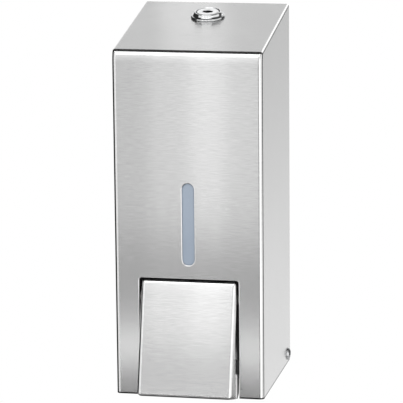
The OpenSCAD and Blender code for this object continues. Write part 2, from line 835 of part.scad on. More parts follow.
module spout_nozzle() {
    skirt_r = max(boss_r, valve_flange_r) + run_gap;
    outer_r = skirt_r + spout_wall;
    cone_h = spout_floor_h - spout_wall;
    color(black) from_base() in_neck() difference() {
        rotate_extrude() polygon([
            [0, spout_h], [spout_tip_r, spout_h], [spout_tip_r, spout_tip_h],
            [outer_r, cone_h], [outer_r, spout_top_h], [0, spout_top_h]
        ]);
        disc(skirt_r, spout_floor_h, spout_top_h + past);
        disc(spout_bore_r, spout_tip_h - past, spout_floor_h + past);
        disc(spout_tip_bore_r, spout_h - past, spout_tip_h);
        in_saddle() disc(pump_r + run_gap, pump_front_y, pump_rear_y + past);
    }
}

// The pump's cylinder as seen from the neck's axis
module in_saddle() translate([0, -tank_y, 0]) in_pump() children();

module plunger() {
    groove_y = piston_front_y + piston_len / 2;
    color(nylon) from_base() in_pump() difference() {
        union() {
            disc(rod_r, pad_rear_y - pad_socket, piston_front_y + piston_len / 2);
            disc(pad_r, pad_rear_y, seat_rear_y);
            disc(piston_r, piston_front_y, piston_front_y + piston_len);
        }
        tube(bore_r, groove_r, groove_y - groove_w / 2, groove_y + groove_w / 2);
    }
}

module piston_ring() {
    color(black) from_base() in_pump() translate([0, 0, piston_front_y + piston_len / 2])
        rotate_extrude() translate([ring_mean_r, 0]) circle(ring_r);
}

module push_pad() {
    color(black) from_base() in_pump() difference() {
        intersection() {
            translate([0, 0, dome_y]) sphere(dome_r);
            disc(pad_r, pad_tip_y - past, pad_rear_y);
        }
        disc(rod_r, pad_rear_y - pad_socket, pad_rear_y + past);
    }
}

// How far along its axis the spring's wire has come after a number of turns
function spring_at(turn) =
    min(turn, end_turns) * end_pitch
    + max(0, min(turn, spring_turns - end_turns) - end_turns) * mid_pitch
    + max(0, turn - spring_turns + end_turns) * end_pitch;
function spring_point(i) = let (turn = i / turn_rings)
    [spring_r * cos(360 * turn), spring_r * sin(360 * turn), spring_at(turn)];
function spring_ring(i) = let (
        turn = i / turn_rings,
        out = [cos(360 * turn), sin(360 * turn), 0],
        run = spring_point(min(i + 1, spring_rings)) - spring_point(max(i - 1, 0)),
        side = cross(run, out) / norm(cross(run, out))
    ) [for (k = [0:wire_sides - 1]) let (a = 360 * k / wire_sides)
        spring_point(i) + wire_d / 2 * (cos(a) * out + sin(a) * side)];
function spring_gap() = min([for (i = [0:spring_rings - half_turn], j = [i + half_turn:spring_rings])
    norm(spring_point(i) - spring_point(j))]) - wire_d;

module pump_spring() {
    n = wire_sides;
    points = [for (i = [0:spring_rings]) each spring_ring(i)];
    skin = [for (i = [0:spring_rings - 1], k = [0:n - 1]) let (m = (k + 1) % n)
        each [[i * n + k, i * n + m, i * n + n + k], [i * n + m, i * n + n + m, i * n + n + k]]];
    last = spring_rings * n;
    caps = [for (k = [1:n - 2]) each [[0, k + 1, k], [last, last + k, last + k + 1]]];
    echo("Least gap between the turns of the return spring, in mm", spring_gap());
    color(zinc) from_base() in_pump() translate([0, 0, seat_rear_y + wire_d / 2 + run_gap])
        polyhedron(points, concat(skin, caps));
}

back_plate();
tank_shelf();
shelf_rivets();
lock_keeper();
keeper_rivets();
pivot_rivets();
pivot_washers();
soap_tank();
neck_gasket();
union_nut();
pump_body();
pump_gland();
inlet_valve();
outlet_valve();
spout_nozzle();
pump_spring();
plunger();
piston_ring();
push_pad();
tank_lid();
lid_seal();
cover();
sight_window();
lock_housing();
lock_nut();
flap_bushes();
lock_plug();
lock_cam();
cam_screw();
push_flap();
hinge_pins();
pin_clips();
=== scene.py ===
import json
import math

import bmesh
import bpy
from mathutils import Matrix, Vector


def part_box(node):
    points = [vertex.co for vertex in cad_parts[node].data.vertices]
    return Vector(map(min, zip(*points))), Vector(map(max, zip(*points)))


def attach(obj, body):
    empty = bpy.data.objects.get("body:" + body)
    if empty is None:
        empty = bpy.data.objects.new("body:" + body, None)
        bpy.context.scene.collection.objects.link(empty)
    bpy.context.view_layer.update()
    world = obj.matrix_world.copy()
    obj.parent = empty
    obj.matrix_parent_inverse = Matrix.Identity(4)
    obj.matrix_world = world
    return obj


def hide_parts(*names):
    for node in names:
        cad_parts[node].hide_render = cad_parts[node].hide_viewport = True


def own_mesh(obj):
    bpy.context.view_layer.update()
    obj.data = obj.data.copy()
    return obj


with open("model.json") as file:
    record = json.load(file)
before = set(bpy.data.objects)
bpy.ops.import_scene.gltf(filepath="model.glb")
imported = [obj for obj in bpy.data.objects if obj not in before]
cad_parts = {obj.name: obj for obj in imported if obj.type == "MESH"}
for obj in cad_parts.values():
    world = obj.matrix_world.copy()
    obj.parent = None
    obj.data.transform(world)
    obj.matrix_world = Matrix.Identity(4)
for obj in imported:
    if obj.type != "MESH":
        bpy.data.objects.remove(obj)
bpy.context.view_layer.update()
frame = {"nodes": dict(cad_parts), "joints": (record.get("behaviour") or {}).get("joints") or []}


# Camera: the photograph's view of the dispenser, from a little above and to its right.
# A long lens stands well back, so that the upright edges stay almost parallel.
MM = 0.001
VIEW_DISTANCE = 1.844
VIEW_LENS, VIEW_SENSOR = 245.5, 36
AZIMUTH, ELEVATION, ROLL = (math.radians(angle) for angle in (11.48, 11.88, -0.56))
view_aim = Vector((1.1 * MM, -66.5 * MM, -3.6 * MM))
view_back = Vector((math.sin(AZIMUTH) * math.cos(ELEVATION), -math.cos(AZIMUTH) * math.cos(ELEVATION),
                    math.sin(ELEVATION)))
level_right = Vector((math.cos(AZIMUTH), math.sin(AZIMUTH), 0))
view_right = level_right * math.cos(ROLL) + view_back.cross(level_right) * math.sin(ROLL)
view_turn = Matrix((view_right, view_back.cross(view_right), view_back)).transposed()

camera = bpy.data.objects.new("view", bpy.data.cameras.new("view"))
camera.data.lens, camera.data.sensor_width = VIEW_LENS, VIEW_SENSOR
camera.matrix_world = Matrix.Translation(view_aim + view_back * VIEW_DISTANCE) @ view_turn.to_4x4()
scene = bpy.context.scene
scene.collection.objects.link(camera)
scene.camera = camera
scene.view_settings.view_transform = "Standard"


# Studio: a pale board under the dispenser, and a white sweep behind it with a dark card at its right. Two
# white screens stand before it to the left and right, with a dim room between them and dark corners beyond.
# Nine soft lamps, which the camera itself doesn't see, light the steel.
FLOOR_DROP = 0.25
FLOOR_WIDTH, FLOOR_DEPTH = 1.4, 1.1
FLOOR_DARK, FLOOR_LIGHT = 0.86, 0.89
SWEEP_WHITE, SWEEP_HIGH, SWEEP_RIGHT = 1.0, 1.03, 0.68
SWEEP_BEHIND, SWEEP_FOOT, SWEEP_CROWN = (0.82, 0.92), (-0.5, -0.38), (0.60, 0.70)
SWEEP_RISE, DIM_ACROSS, DIM_RISE = (0.04, 0.2), (-0.06, 0.1), (-0.28, -0.10)
CARD_ACROSS, CARD_FOOT, CARD_CROWN = (0.225, 0.24), (-0.14, -0.12), (0.03, 0.06)
CORNER_LEFT, CORNER_RIGHT, CORNER_ACROSS = 0.04, 0.11, (-0.2, 0.2)
ROOM_LOW, ROOM_MIDDLE, ROOM_HIGH = 0.2, 0.05, 0.42
ROOM_RISE, ROOM_FOOT, ROOM_CROWN = (-0.34, -0.22), (0.02, 0.14), (0.42, 0.6)
SCREEN, SCREEN_FOOT, SCREEN_CROWN = 1.2, (-0.6, -0.5), (0.45, 0.65)
SCREEN_ANGLES, SCREEN_EDGE = ((-1.15, -0.42), (0.28, 1.85)), 0.1
FRONT_LEFT, FRONT_RIGHT = (-1.3, -1.2), (1.9, 2.0)
base_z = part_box("cover")[0].z


def node(tree, kind, inputs=None, **settings):
    """A shader node with its settings, and its inputs as plain values or other nodes' sockets."""
    made = tree.nodes.new("ShaderNode" + kind)
    for key, value in settings.items():
        setattr(made, key, value)
    for socket, value in (inputs or {}).items():
        if isinstance(value, bpy.types.NodeSocket):
            tree.links.new(value, made.inputs[socket])
        else:
            made.inputs[socket].default_value = value
    return made


def reckon(tree, operation, first, second=0.0):
    """One sum on one or two values."""
    return node(tree, "Math", {0: first, 1: second}, operation=operation).outputs[0]


def ease(tree, value, low, high, to_low=0.0, to_high=1.0):
    """A value taken smoothly from one range to another."""
    return node(tree, "MapRange", {"Value": value, "From Min": low, "From Max": high, "To Min": to_low,
                                   "To Max": to_high}, interpolation_type="SMOOTHSTEP").outputs[0]


def band(tree, value, rising, falling):
    """A share that eases in over one range of a value, and out again over another."""
    return reckon(tree, "MULTIPLY", ease(tree, value, *rising), ease(tree, value, *falling, 1.0, 0.0))


def grey(level):
    return (level, level, level, 1)


def mix(tree, share, first, second):
    """Two colours mixed by a share."""
    return node(tree, "Mix", {0: share, 6: first, 7: second}, data_type="RGBA").outputs[2]


def new_finish(name, values):
    """A material with plain values on its shader: the material, its tree and its shader."""
    material = bpy.data.materials.new(name)
    material.use_nodes = True
    shader = material.node_tree.nodes["Principled BSDF"]
    for socket, value in values.items():
        shader.inputs[socket].default_value = value
    return material, material.node_tree, shader


studio = bpy.data.worlds.new("studio")
studio.use_nodes = True
scene.world = studio
sky = studio.node_tree
toward = node(sky, "SeparateXYZ", {0: node(sky, "TexCoord").outputs["Generated"]})
upwards = toward.outputs["Z"]
level_way = node(sky, "CombineXYZ", {"X": toward.outputs["X"], "Y": toward.outputs["Y"]}).outputs[0]
way = node(sky, "VectorMath", {0: level_way}, operation="NORMALIZE").outputs[0]
bearing = node(sky, "SeparateXYZ", {0: way})
to_right, to_rear = bearing.outputs["X"], bearing.outputs["Y"]
around = reckon(sky, "ARCTAN2", to_right, reckon(sky, "MULTIPLY", to_rear, -1.0))

sweep = mix(sky, ease(sky, upwards, *SWEEP_RISE), grey(SWEEP_WHITE), grey(SWEEP_HIGH))
dim_share = reckon(sky, "MULTIPLY", ease(sky, to_right, *DIM_ACROSS), ease(sky, upwards, *DIM_RISE))
sweep = mix(sky, dim_share, sweep, grey(SWEEP_RIGHT))
card_share = reckon(sky, "MULTIPLY", ease(sky, to_right, *CARD_ACROSS),
                    band(sky, upwards, CARD_FOOT, CARD_CROWN))
sweep = mix(sky, card_share, sweep, grey(CORNER_LEFT))
corner = mix(sky, ease(sky, to_right, *CORNER_ACROSS), grey(CORNER_LEFT), grey(CORNER_RIGHT))
room = mix(sky, ease(sky, upwards, *ROOM_RISE), grey(ROOM_LOW), grey(ROOM_MIDDLE))
room = mix(sky, band(sky, upwards, ROOM_FOOT, ROOM_CROWN), room, grey(ROOM_HIGH))
screens = mix(sky, band(sky, upwards, SCREEN_FOOT, SCREEN_CROWN), corner, grey(SCREEN))
for near, far in SCREEN_ANGLES:
    screen_share = band(sky, around, (near - SCREEN_EDGE, near), (far, far + SCREEN_EDGE))
    room = mix(sky, screen_share, room, screens)
in_front = mix(sky, band(sky, around, FRONT_LEFT, FRONT_RIGHT), corner, room)
sweep_share = reckon(sky, "MULTIPLY", ease(sky, to_rear, *SWEEP_BEHIND),
                     band(sky, upwards, SWEEP_FOOT, SWEEP_CROWN))
sky.links.new(mix(sky, sweep_share, in_front, sweep), sky.nodes["Background"].inputs["Color"])


def softbox(name, place, width, height, watts, turn=None):
    """An area lamp that faces the dispenser, or is turned upright towards its front."""
    lamp = bpy.data.lights.new(name, "AREA")
    lamp.shape, lamp.size, lamp.size_y, lamp.energy = "RECTANGLE", width, height, watts
    box = bpy.data.objects.new(name, lamp)
    box.location = place
    box.rotation_euler = turn or (view_aim - box.location).to_track_quat("-Z", "Y").to_euler()
    box.visible_camera = False
    scene.collection.objects.link(box)


FACING_FRONT = (math.pi / 2, 0, 0)
softbox("overhead_softbox", (-0.1, -0.80, 1.05), 1.4, 0.9, 9.0)
softbox("front_softbox", (-0.03, -0.2565, 0.0975), 0.18, 0.305, 0.117, FACING_FRONT)
softbox("front_fill", (-0.0175, -0.2585, 0.0975), 0.085, 0.305, 0.0145, FACING_FRONT)
softbox("front_strip_light", (-0.0175, -0.2605, 0.0975), 0.025, 0.305, 0.0054, FACING_FRONT)
softbox("front_low_fill", (-0.03, -0.2565, -0.085), 0.18, 0.06, 0.0105, FACING_FRONT)
softbox("low_strip_light", (-0.025, -0.2365, -0.13), 0.15, 0.02, 0.0205, FACING_FRONT)
softbox("right_softbox", (0.5, -0.55, -0.1), 0.32, 0.6, 0.55)
softbox("rear_strip_light", (-0.075, 0.244, 0.295), 0.05, 0.3, 0.011)
softbox("rear_edge_light", (0.14, 0.3, 0.28), 0.14, 0.15, 0.066)

floor_finish, floor_tree, floor_shader = new_finish("pale_board", {"Roughness": 0.6})
floor_speck = node(floor_tree, "TexNoise", {"Scale": 60.0, "Detail": 4.0}).outputs[0]
floor_tree.links.new(mix(floor_tree, floor_speck, grey(FLOOR_DARK), grey(FLOOR_LIGHT)),
                     floor_shader.inputs["Base Color"])
board = bmesh.new()
bmesh.ops.create_grid(board, x_segments=12, y_segments=12, size=0.5)
bmesh.ops.transform(board, verts=board.verts, matrix=Matrix.Diagonal((FLOOR_WIDTH, FLOOR_DEPTH, 1, 1)))
floor_mesh = bpy.data.meshes.new("pale_board")
board.to_mesh(floor_mesh)
board.free()
floor_mesh.materials.append(floor_finish)
floor = bpy.data.objects.new("pale_board", floor_mesh)
floor.location = (0, 0, base_z - FLOOR_DROP)
scene.collection.objects.link(floor)


# Back plate: a tray of steel sheet, screwed to the wall through four holes. Its black coat is painted shade
# for the inside of the cover. Its sides are folded forward, and end below in two ears that carry the cover's
# pivot rivets.
PLATE_GAUGE = 1.5
PLATE_HALF = 48
PLATE_FOOT, PLATE_TOP = 0.5, 240
PLATE_BEND = 2.2
FLANGE_DEPTH = 9
EAR_DEPTH, EAR_HEIGHT = 18.4, 20
SCREW_HALF_WIDTH, SCREW_HEIGHTS, SCREW_HOLE = 30, (38, 218), 2.75
DEBURR, BEND_STEPS = 0.18, 8
BURR_ANGLE, CREASE_ANGLE, FULL_BEND = (math.radians(angle) for angle in (50, 42, 25))
row = Matrix.Translation((0, 0, base_z)) @ Matrix.Scale(MM, 4)
across = Matrix(((0, 0, 1, 0), (1, 0, 0, 0), (0, 1, 0, 0), (0, 0, 0, 1)))
forward = Matrix.Rotation(math.pi / 2, 4, "X")


def to_mesh(shape, name="blank"):
    mesh = bpy.data.meshes.new(name)
    shape.to_mesh(mesh)
    shape.free()
    return mesh


def worked(mesh, *steps):
    """The mesh after a row of modifiers, each given by its kind and settings."""
    blank = bpy.data.objects.new("blank", mesh)
    scene.collection.objects.link(blank)
    for kind, settings in steps:
        step = blank.modifiers.new(kind, kind)
        for key, value in settings.items():
            setattr(step, key, value)
    graph = bpy.context.evaluated_depsgraph_get()
    done = bpy.data.meshes.new_from_object(blank.evaluated_get(graph), depsgraph=graph)
    bpy.data.objects.remove(blank)
    return done


def cut(mesh, *tools):
    """The mesh with each tool's mesh cut out of it."""
    for tool in tools:
        cutter = bpy.data.objects.new("cutter", tool)
        scene.collection.objects.link(cutter)
        mesh = worked(mesh, ("BOOLEAN", {"object": cutter, "operation": "DIFFERENCE", "solver": "EXACT"}))
        bpy.data.objects.remove(cutter)
    return mesh


def deburred(mesh, width=DEBURR, steps=2):
    """The mesh with its sharp edges rounded off."""
    return worked(mesh, ("BEVEL", {"limit_method": "ANGLE", "angle_limit": BURR_ANGLE, "width": width,
                                   "segments": steps, "use_clamp_overlap": True}))


def joined(*meshes):
    """Several meshes as one."""
    shape = bmesh.new()
    for mesh in meshes:
        shape.from_mesh(mesh)
    return to_mesh(shape)


def arc(radius, start, sweep, steps, middle=(0, 0)):
    """Points along an arc, with both its ends."""
    angles = [start + sweep * k / steps for k in range(steps + 1)]
    return [(middle[0] + radius * math.cos(angle), middle[1] + radius * math.sin(angle)) for angle in angles]


def circle(radius, steps=48):
    return arc(radius, 0, math.tau, steps)[:-1]


def prism(outline, low, high, place=Matrix()):
    """A flat outline pulled along place's Z from low to high."""
    shape = bmesh.new()
    ends = [[shape.verts.new(place @ Vector((x, y, z))) for x, y in outline] for z in (low, high)]
    shape.faces.new(reversed(ends[0]))
    shape.faces.new(ends[1])
    for i in range(len(outline)):
        j = (i + 1) % len(outline)
        shape.faces.new((ends[0][i], ends[0][j], ends[1][j], ends[1][i]))
    return to_mesh(shape)


def both_sides(line, left, right):
    """Named corners of a sheet: one line of (depth, height) points, at its left and at its right."""
    return {f"{side}{i}": (x, y, h) for side, x in (("left", left), ("right", right))
            for i, (y, h) in enumerate(line)}


def side_panels(count):
    """The right and the left panel inside such a line of points, each seen from outside."""
    return [[f"right{i}" for i in range(count)], [f"left{i}" for i in reversed(range(count))]]


def folded_sheet(corners, panels, folds, gauge, tools=(), deburr=DEBURR):
    """A sheet-metal shell: flat panels between named corners, seen from outside in a left turn, bent to an
    outside radius along each fold, thickened inwards, cut through and deburred. Its attribute bend grows
    from 0 on the flat panels to 1 on the folds."""
    shape = bmesh.new()
    points = {name: shape.verts.new(place) for name, place in corners.items()}
    flat = []
    for panel in panels:
        face = shape.faces.new([points[name] for name in panel])
        face.normal_update()
        flat.append(face.normal.copy())
    weight = shape.edges.layers.float.new("bevel_weight_edge")
    widest = max(folds.values())
    for (first, second), radius in folds.items():
        shape.edges.get((points[first], points[second]))[weight] = radius / widest
    blank = to_mesh(shape)
    blank.materials.append(None)
    blank.materials.append(None)
    sheet = worked(blank,
                   ("BEVEL", {"limit_method": "WEIGHT", "width": widest, "segments": BEND_STEPS,
                              "use_clamp_overlap": False}),
                   ("SOLIDIFY", {"thickness": gauge, "offset": -1, "use_even_offset": True,
                                 "material_offset": 1}))
    sheet = deburred(cut(sheet, *tools), deburr)
    bend = sheet.attributes.new("bend", "FLOAT", "FACE")
    for face in sheet.polygons:
        leaning = math.acos(min(1.0, max(abs(face.normal.dot(way)) for way in flat)))
        bend.data[face.index].value = min(1.0, leaning / FULL_BEND)
    return sheet


def fit(name, mesh, finish, body, slot, *nodes, place=row):
    """Puts a finished mesh in the scene as a piece that rides on a body and stands for CAD nodes. A sheet may
    have several finishes: outside, inside and on its coated faces."""
    mesh.name = name
    mesh.transform(place)
    mesh.shade_smooth()
    mesh.set_sharp_from_angle(angle=CREASE_ANGLE)
    finishes = finish if isinstance(finish, tuple) else (finish,)
    while len(mesh.materials) < len(finishes):
        mesh.materials.append(None)
    for i in range(len(mesh.materials)):
        mesh.materials[i] = finishes[min(i, len(finishes) - 1)]
    piece = bpy.data.objects.new(name, mesh)
    scene.collection.objects.link(piece)
    even = piece.modifiers.new("even_faces", "WEIGHTED_NORMAL")
    even.keep_sharp = True
    even.weight = 80
    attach(piece, body)
    if nodes:
        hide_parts(*nodes)
    return piece


def effect(name, inputs, outputs):
    """A new shader node group with float inputs and outputs: the group, its inlet and its outlet."""
    group = bpy.data.node_groups.new(name, "ShaderNodeTree")
    for socket, value in inputs.items():
        inlet = group.interface.new_socket(socket, in_out="INPUT", socket_type="NodeSocketFloat")
        inlet.default_value = value
    for socket in outputs:
        group.interface.new_socket(socket, in_out="OUTPUT", socket_type="NodeSocketFloat")
    return group, group.nodes.new("NodeGroupInput"), group.nodes.new("NodeGroupOutput")


def place_effect(tree, group, **values):
    """A node group placed in a material with its own values."""
    made = tree.nodes.new("ShaderNodeGroup")
    made.node_tree = group
    for socket, value in values.items():
        made.inputs[socket].default_value = value
    return made


handling, marks_in, marks_out = effect("handling_marks", {"Scale": 30.0}, ("Smudge", "Speck"))
marks_at = node(handling, "TexCoord").outputs["Object"]
smudge = node(handling, "TexNoise", {"Vector": marks_at, "Scale": marks_in.outputs["Scale"], "Detail": 5.0,
                                     "Roughness": 0.6, "Distortion": 0.8}).outputs[0]
finer = reckon(handling, "MULTIPLY", marks_in.outputs["Scale"], 40.0)
speck = node(handling, "TexNoise", {"Vector": marks_at, "Scale": finer, "Detail": 2.0}).outputs[0]
handling.links.new(ease(handling, smudge, 0.3, 0.7), marks_out.inputs["Smudge"])
handling.links.new(speck, marks_out.inputs["Speck"])
MARK_RANGES, MARK_DEPTH = {"Speck": (0.2, 0.8), "Smudge": (0.0, 1.0)}, 0.0001


def handled_finish(name, dark, light, scale, rough, gloss_by="Speck", metallic=1.0, bump=0.0, tone=None):
    """A metal or a coat with handling marks. Its colour follows the smudges or a tone of its own, and its
    gloss follows the specks or the smudges."""
    material, tree, shader = new_finish(name, {"Metallic": metallic})
    marks = place_effect(tree, handling, Scale=scale)
    colour_by = tone(tree) if tone else marks.outputs["Smudge"]
    tree.links.new(mix(tree, colour_by, dark + (1,), light + (1,)), shader.inputs["Base Color"])
    gloss = ease(tree, marks.outputs[gloss_by], *MARK_RANGES[gloss_by], *rough)
    tree.links.new(gloss, shader.inputs["Roughness"])
    if bump:
        skin = node(tree, "Bump", {"Height": marks.outputs["Speck"], "Strength": bump,
                                   "Distance": MARK_DEPTH})
        tree.links.new(skin.outputs[0], shader.inputs["Normal"])
    return material


# Painted shade: the back plate, the shelf and the keeper are nearly black, in place of the shade inside the
# cover.
black_shade_coat = handled_finish("black_shade_sheet", (0.018, 0.018, 0.019), (0.032, 0.032, 0.033), 25.0,
                            (0.42, 0.58), metallic=0.0, bump=0.2)

ear_side = [(0, PLATE_FOOT), (0, PLATE_TOP), (-FLANGE_DEPTH / 2, PLATE_TOP),
            (-FLANGE_DEPTH, PLATE_TOP - FLANGE_DEPTH / 2),
            (-FLANGE_DEPTH, EAR_HEIGHT + EAR_DEPTH - FLANGE_DEPTH),
            (-EAR_DEPTH, EAR_HEIGHT), (-EAR_DEPTH, PLATE_FOOT)]
plate_panels = [("left0", "left1", "right1", "right0"), *side_panels(len(ear_side))]
plate_folds = {("left0", "left1"): PLATE_BEND, ("right0", "right1"): PLATE_BEND}
screw_places = [Matrix.Translation((x, 0, h)) @ forward for x in (-SCREW_HALF_WIDTH, SCREW_HALF_WIDTH)
                for h in SCREW_HEIGHTS]
screw_holes = [prism(circle(SCREW_HOLE), -PLATE_GAUGE, 2 * PLATE_GAUGE, place) for place in screw_places]
plate_corners = both_sides(ear_side, -PLATE_HALF, PLATE_HALF)
back_tray = folded_sheet(plate_corners, plate_panels, plate_folds, PLATE_GAUGE, screw_holes)
fit("back_tray", back_tray, black_shade_coat, "wall_unit", "dark_steel", "back_plate")


# Tank shelf: a bracket of the same black sheet, riveted to the back plate. Its rear edge and the rear of its
# sides are folded down as a flange and two gussets, and the tank's neck hangs through its hole.
SHELF_HALF = 46.2
SHELF_TOP, SHELF_FOOT = 86, 60.5
SHELF_REAR, SHELF_FRONT, GUSSET_FRONT = -1.5, -93.3, -60
GUSSET_EDGE = 3
NECK_Y, NECK_HOLE = -54.15, 12.3

shelf_side = [(SHELF_REAR, SHELF_FOOT), (SHELF_REAR, SHELF_TOP), (GUSSET_FRONT, SHELF_TOP),
              (GUSSET_FRONT, SHELF_TOP - GUSSET_EDGE), (SHELF_REAR - GUSSET_EDGE, SHELF_FOOT)]
shelf_corners = both_sides(shelf_side, -SHELF_HALF, SHELF_HALF)
shelf_corners["left_front"] = (-SHELF_HALF, SHELF_FRONT, SHELF_TOP)
shelf_corners["right_front"] = (SHELF_HALF, SHELF_FRONT, SHELF_TOP)
shelf_panels = [("left0", "left1", "right1", "right0"), *side_panels(len(shelf_side)),
                ("left_front", "right_front", "right2", "right1", "left1", "left2")]
shelf_folds = {("left1", "right1"): PLATE_BEND}
for side in ("left", "right"):
    shelf_folds[side + "0", side + "1"] = PLATE_BEND
    shelf_folds[side + "1", side + "2"] = PLATE_BEND
neck_place = Matrix.Translation((0, NECK_Y, 0))
neck_hole = prism(circle(NECK_HOLE, 64), SHELF_TOP - 2 * PLATE_GAUGE, SHELF_TOP + PLATE_GAUGE, neck_place)
fit("shelf_bracket", folded_sheet(shelf_corners, shelf_panels, shelf_folds, PLATE_GAUGE, [neck_hole]),
    black_shade_coat, "wall_unit", "dark_steel", "tank_shelf")


# Lock keeper: a strip of the same sheet, folded forward from its foot on the back plate and up again into
# the lip that the lock's cam turns behind.
KEEPER_OUT, KEEPER_IN = -23, -13
KEEPER_FOOT, KEEPER_ARM, KEEPER_LIP = 201.7, 217.7, 231.7
KEEPER_REAR, KEEPER_FRONT = -1.5, -35.6
KEEPER_INNER_BEND = 0.7

keeper_line = [(KEEPER_REAR, KEEPER_FOOT), (KEEPER_REAR, KEEPER_ARM), (KEEPER_FRONT, KEEPER_ARM),
               (KEEPER_FRONT, KEEPER_LIP)]
keeper_panels = [("left0", "left1", "right1", "right0"), ("left2", "right2", "right1", "left1"),
                 ("left2", "left3", "right3", "right2")]
keeper_folds = {("left1", "right1"): PLATE_BEND, ("left2", "right2"): KEEPER_INNER_BEND}
keeper_corners = both_sides(keeper_line, KEEPER_OUT, KEEPER_IN)
fit("keeper_strip", folded_sheet(keeper_corners, keeper_panels, keeper_folds, PLATE_GAUGE),
    black_shade_coat, "wall_unit", "dark_steel", "lock_keeper")


# Small rivets: bright aluminium rivets that hold the shelf and the keeper on the back plate. Their shanks
# are flush at the wall, and their heads are pressed into low domes.
SMALL_SHANK, SMALL_HEAD, SMALL_HEAD_HEIGHT = 1.6, 3, 1.2
SMALL_RIM, SMALL_DOME_SEAT, SMALL_DOME_INSET = 0.3, 0.4, 0.1
SHELF_RIVETS = [(x, 68.5) for x in (-36, -12, 12, 36)]
KEEPER_RIVETS = [(-18, h) for h in (212.6, 205.7)]


def turned(profile, place=Matrix(), steps=64, form=None):
    """A lathe piece: a closed outline of (radius, height) spun about place's Z. A form may change the
    radius with the angle, for flats and flutes."""
    shape = bmesh.new()
    rings = []
    for radius, height in profile:
        if radius < 1e-6:
            rings.append([shape.verts.new(place @ Vector((0, 0, height)))] * steps)
            continue
        ring = []
        for i in range(steps):
            angle = math.tau * i / steps
            reach = form(angle, radius) if form else radius
            point = Vector((reach * math.cos(angle), reach * math.sin(angle), height))
            ring.append(shape.verts.new(place @ point))
        rings.append(ring)
    for first, second in zip(rings, rings[1:] + rings[:1]):
        for i in range(steps):
            j = (i + 1) % steps
            corners = list(dict.fromkeys((first[i], first[j], second[j], second[i])))
            if len(corners) > 2:
                shape.faces.new(corners)
    bmesh.ops.recalc_face_normals(shape, faces=shape.faces)
    return to_mesh(shape)


def turned_set(profile, places, steps=64):
    """The same lathe piece at each of several places."""
    return joined(*(turned(profile, place, steps) for place in places))


def eased(points, radius, steps=4):
    """A closed outline with its corners rounded off."""
    line = []
    for i, corner in enumerate(points):
        corner = Vector(corner)
        before, after = Vector(points[i - 1]) - corner, Vector(points[(i + 1) % len(points)]) - corner
        reach = min(radius, 0.45 * before.length, 0.45 * after.length)
        start, end = corner + before.normalized() * reach, corner + after.normalized() * reach
        for k in range(steps + 1):
            t = k / steps
            line.append(tuple((1 - t) ** 2 * start + 2 * t * (1 - t) * corner + t * t * end))
    return line


def dome(radius, height, low, steps=8):
    """Points of a low dome from its rim to its crown."""
    ball = (radius * radius + height * height) / (2 * height)
    spread = math.asin(radius / ball)
    leans = [spread * (1 - i / steps) for i in range(steps + 1)]
    return [(ball * math.sin(lean), low + height - ball + ball * math.cos(lean)) for lean in leans]


bright_alloy = handled_finish("bright_aluminium", (0.66, 0.67, 0.68), (0.78, 0.78, 0.79), 120.0, (0.2, 0.36))
small_profile = [(0, -2 * PLATE_GAUGE), (SMALL_SHANK, -2 * PLATE_GAUGE), (SMALL_SHANK, 0), (SMALL_HEAD, 0),
                 (SMALL_HEAD, SMALL_RIM)]
small_profile += dome(SMALL_HEAD - SMALL_DOME_INSET, SMALL_HEAD_HEIGHT - SMALL_DOME_SEAT, SMALL_DOME_SEAT)
for name, seats, cad in (("shelf_rivet_set", SHELF_RIVETS, "shelf_rivets"),
                         ("keeper_rivet_set", KEEPER_RIVETS, "keeper_rivets")):
    places = [Matrix.Translation((x, -2 * PLATE_GAUGE, h)) @ forward for x, h in seats]
    fit(name, turned_set(small_profile, places, 32), bright_alloy, "wall_unit", "plated_steel", cad)


# Pivot rivets: polished steel rivets through the cover's sides and the back plate's ears, on which the
# cover tips forward. A nylon washer on each keeps the cover off the ear.
PIVOT_Y, PIVOT_H = -10.4, 6.1
PIVOT_SHANK, RUNNING_FIT = 2.5, 0.05
PIVOT_HEAD, PIVOT_HEAD_HEIGHT, PIVOT_SEAT = 4.25, 2.0, 50.15
PIVOT_TAIL, PIVOT_TAIL_IN, PIVOT_TAIL_OUT = 3.8, 45.3, 46.5
PIVOT_RIM = ((0.1, 0), (0, 0.15), (0, 0.4), (0.15, 0.6))
PIVOT_DOME_INSET, PIVOT_DOME_SEAT = 0.3, 0.65
WASHER_RADIUS, WASHER_IN, WASHER_OUT = 5.5, 48.05, 48.75
outward = {side: Matrix.Rotation(side * math.pi / 2, 4, "Y") for side in (-1, 1)}

polished = handled_finish("polished_steel", (0.80, 0.81, 0.82), (0.88, 0.88, 0.89), 90.0, (0.05, 0.13),
                          "Smudge")

moulded, skin_in, skin_out = effect("moulded_skin", {"Scale": 40.0}, ("Flow", "Grain"))
skin_at = node(moulded, "TexCoord").outputs["Object"]
flow = node(moulded, "TexNoise", {"Vector": skin_at, "Scale": skin_in.outputs["Scale"], "Detail": 3.0,
                                  "Distortion": 1.5}).outputs[0]
denser = reckon(moulded, "MULTIPLY", skin_in.outputs["Scale"], 60.0)
pores = node(moulded, "TexNoise", {"Vector": skin_at, "Scale": denser, "Detail": 2.0}).outputs[0]
moulded.links.new(flow, skin_out.inputs["Flow"])
moulded.links.new(pores, skin_out.inputs["Grain"])


def moulded_finish(name, dark, light, rough, values, scale=40.0, depth=0.00003):
    """A moulded plastic or rubber: flow marks in its colour, and a fine grain in its gloss and skin."""
    material, tree, shader = new_finish(name, values)
    skin = place_effect(tree, moulded, Scale=scale)
    tree.links.new(mix(tree, skin.outputs["Flow"], dark + (1,), light + (1,)), shader.inputs["Base Color"])
    tree.links.new(ease(tree, skin.outputs["Grain"], 0.2, 0.8, *rough), shader.inputs["Roughness"])
    bump = node(tree, "Bump", {"Height": skin.outputs["Grain"], "Strength": 0.3, "Distance": depth})
    tree.links.new(bump.outputs[0], shader.inputs["Normal"])
    return material


def ring_section(bore, radius, low, high, rounding):
    """The outline of a plain ring or sleeve for the lathe, with its edges rounded."""
    return eased([(bore, low), (radius, low), (radius, high), (bore, high)], rounding)


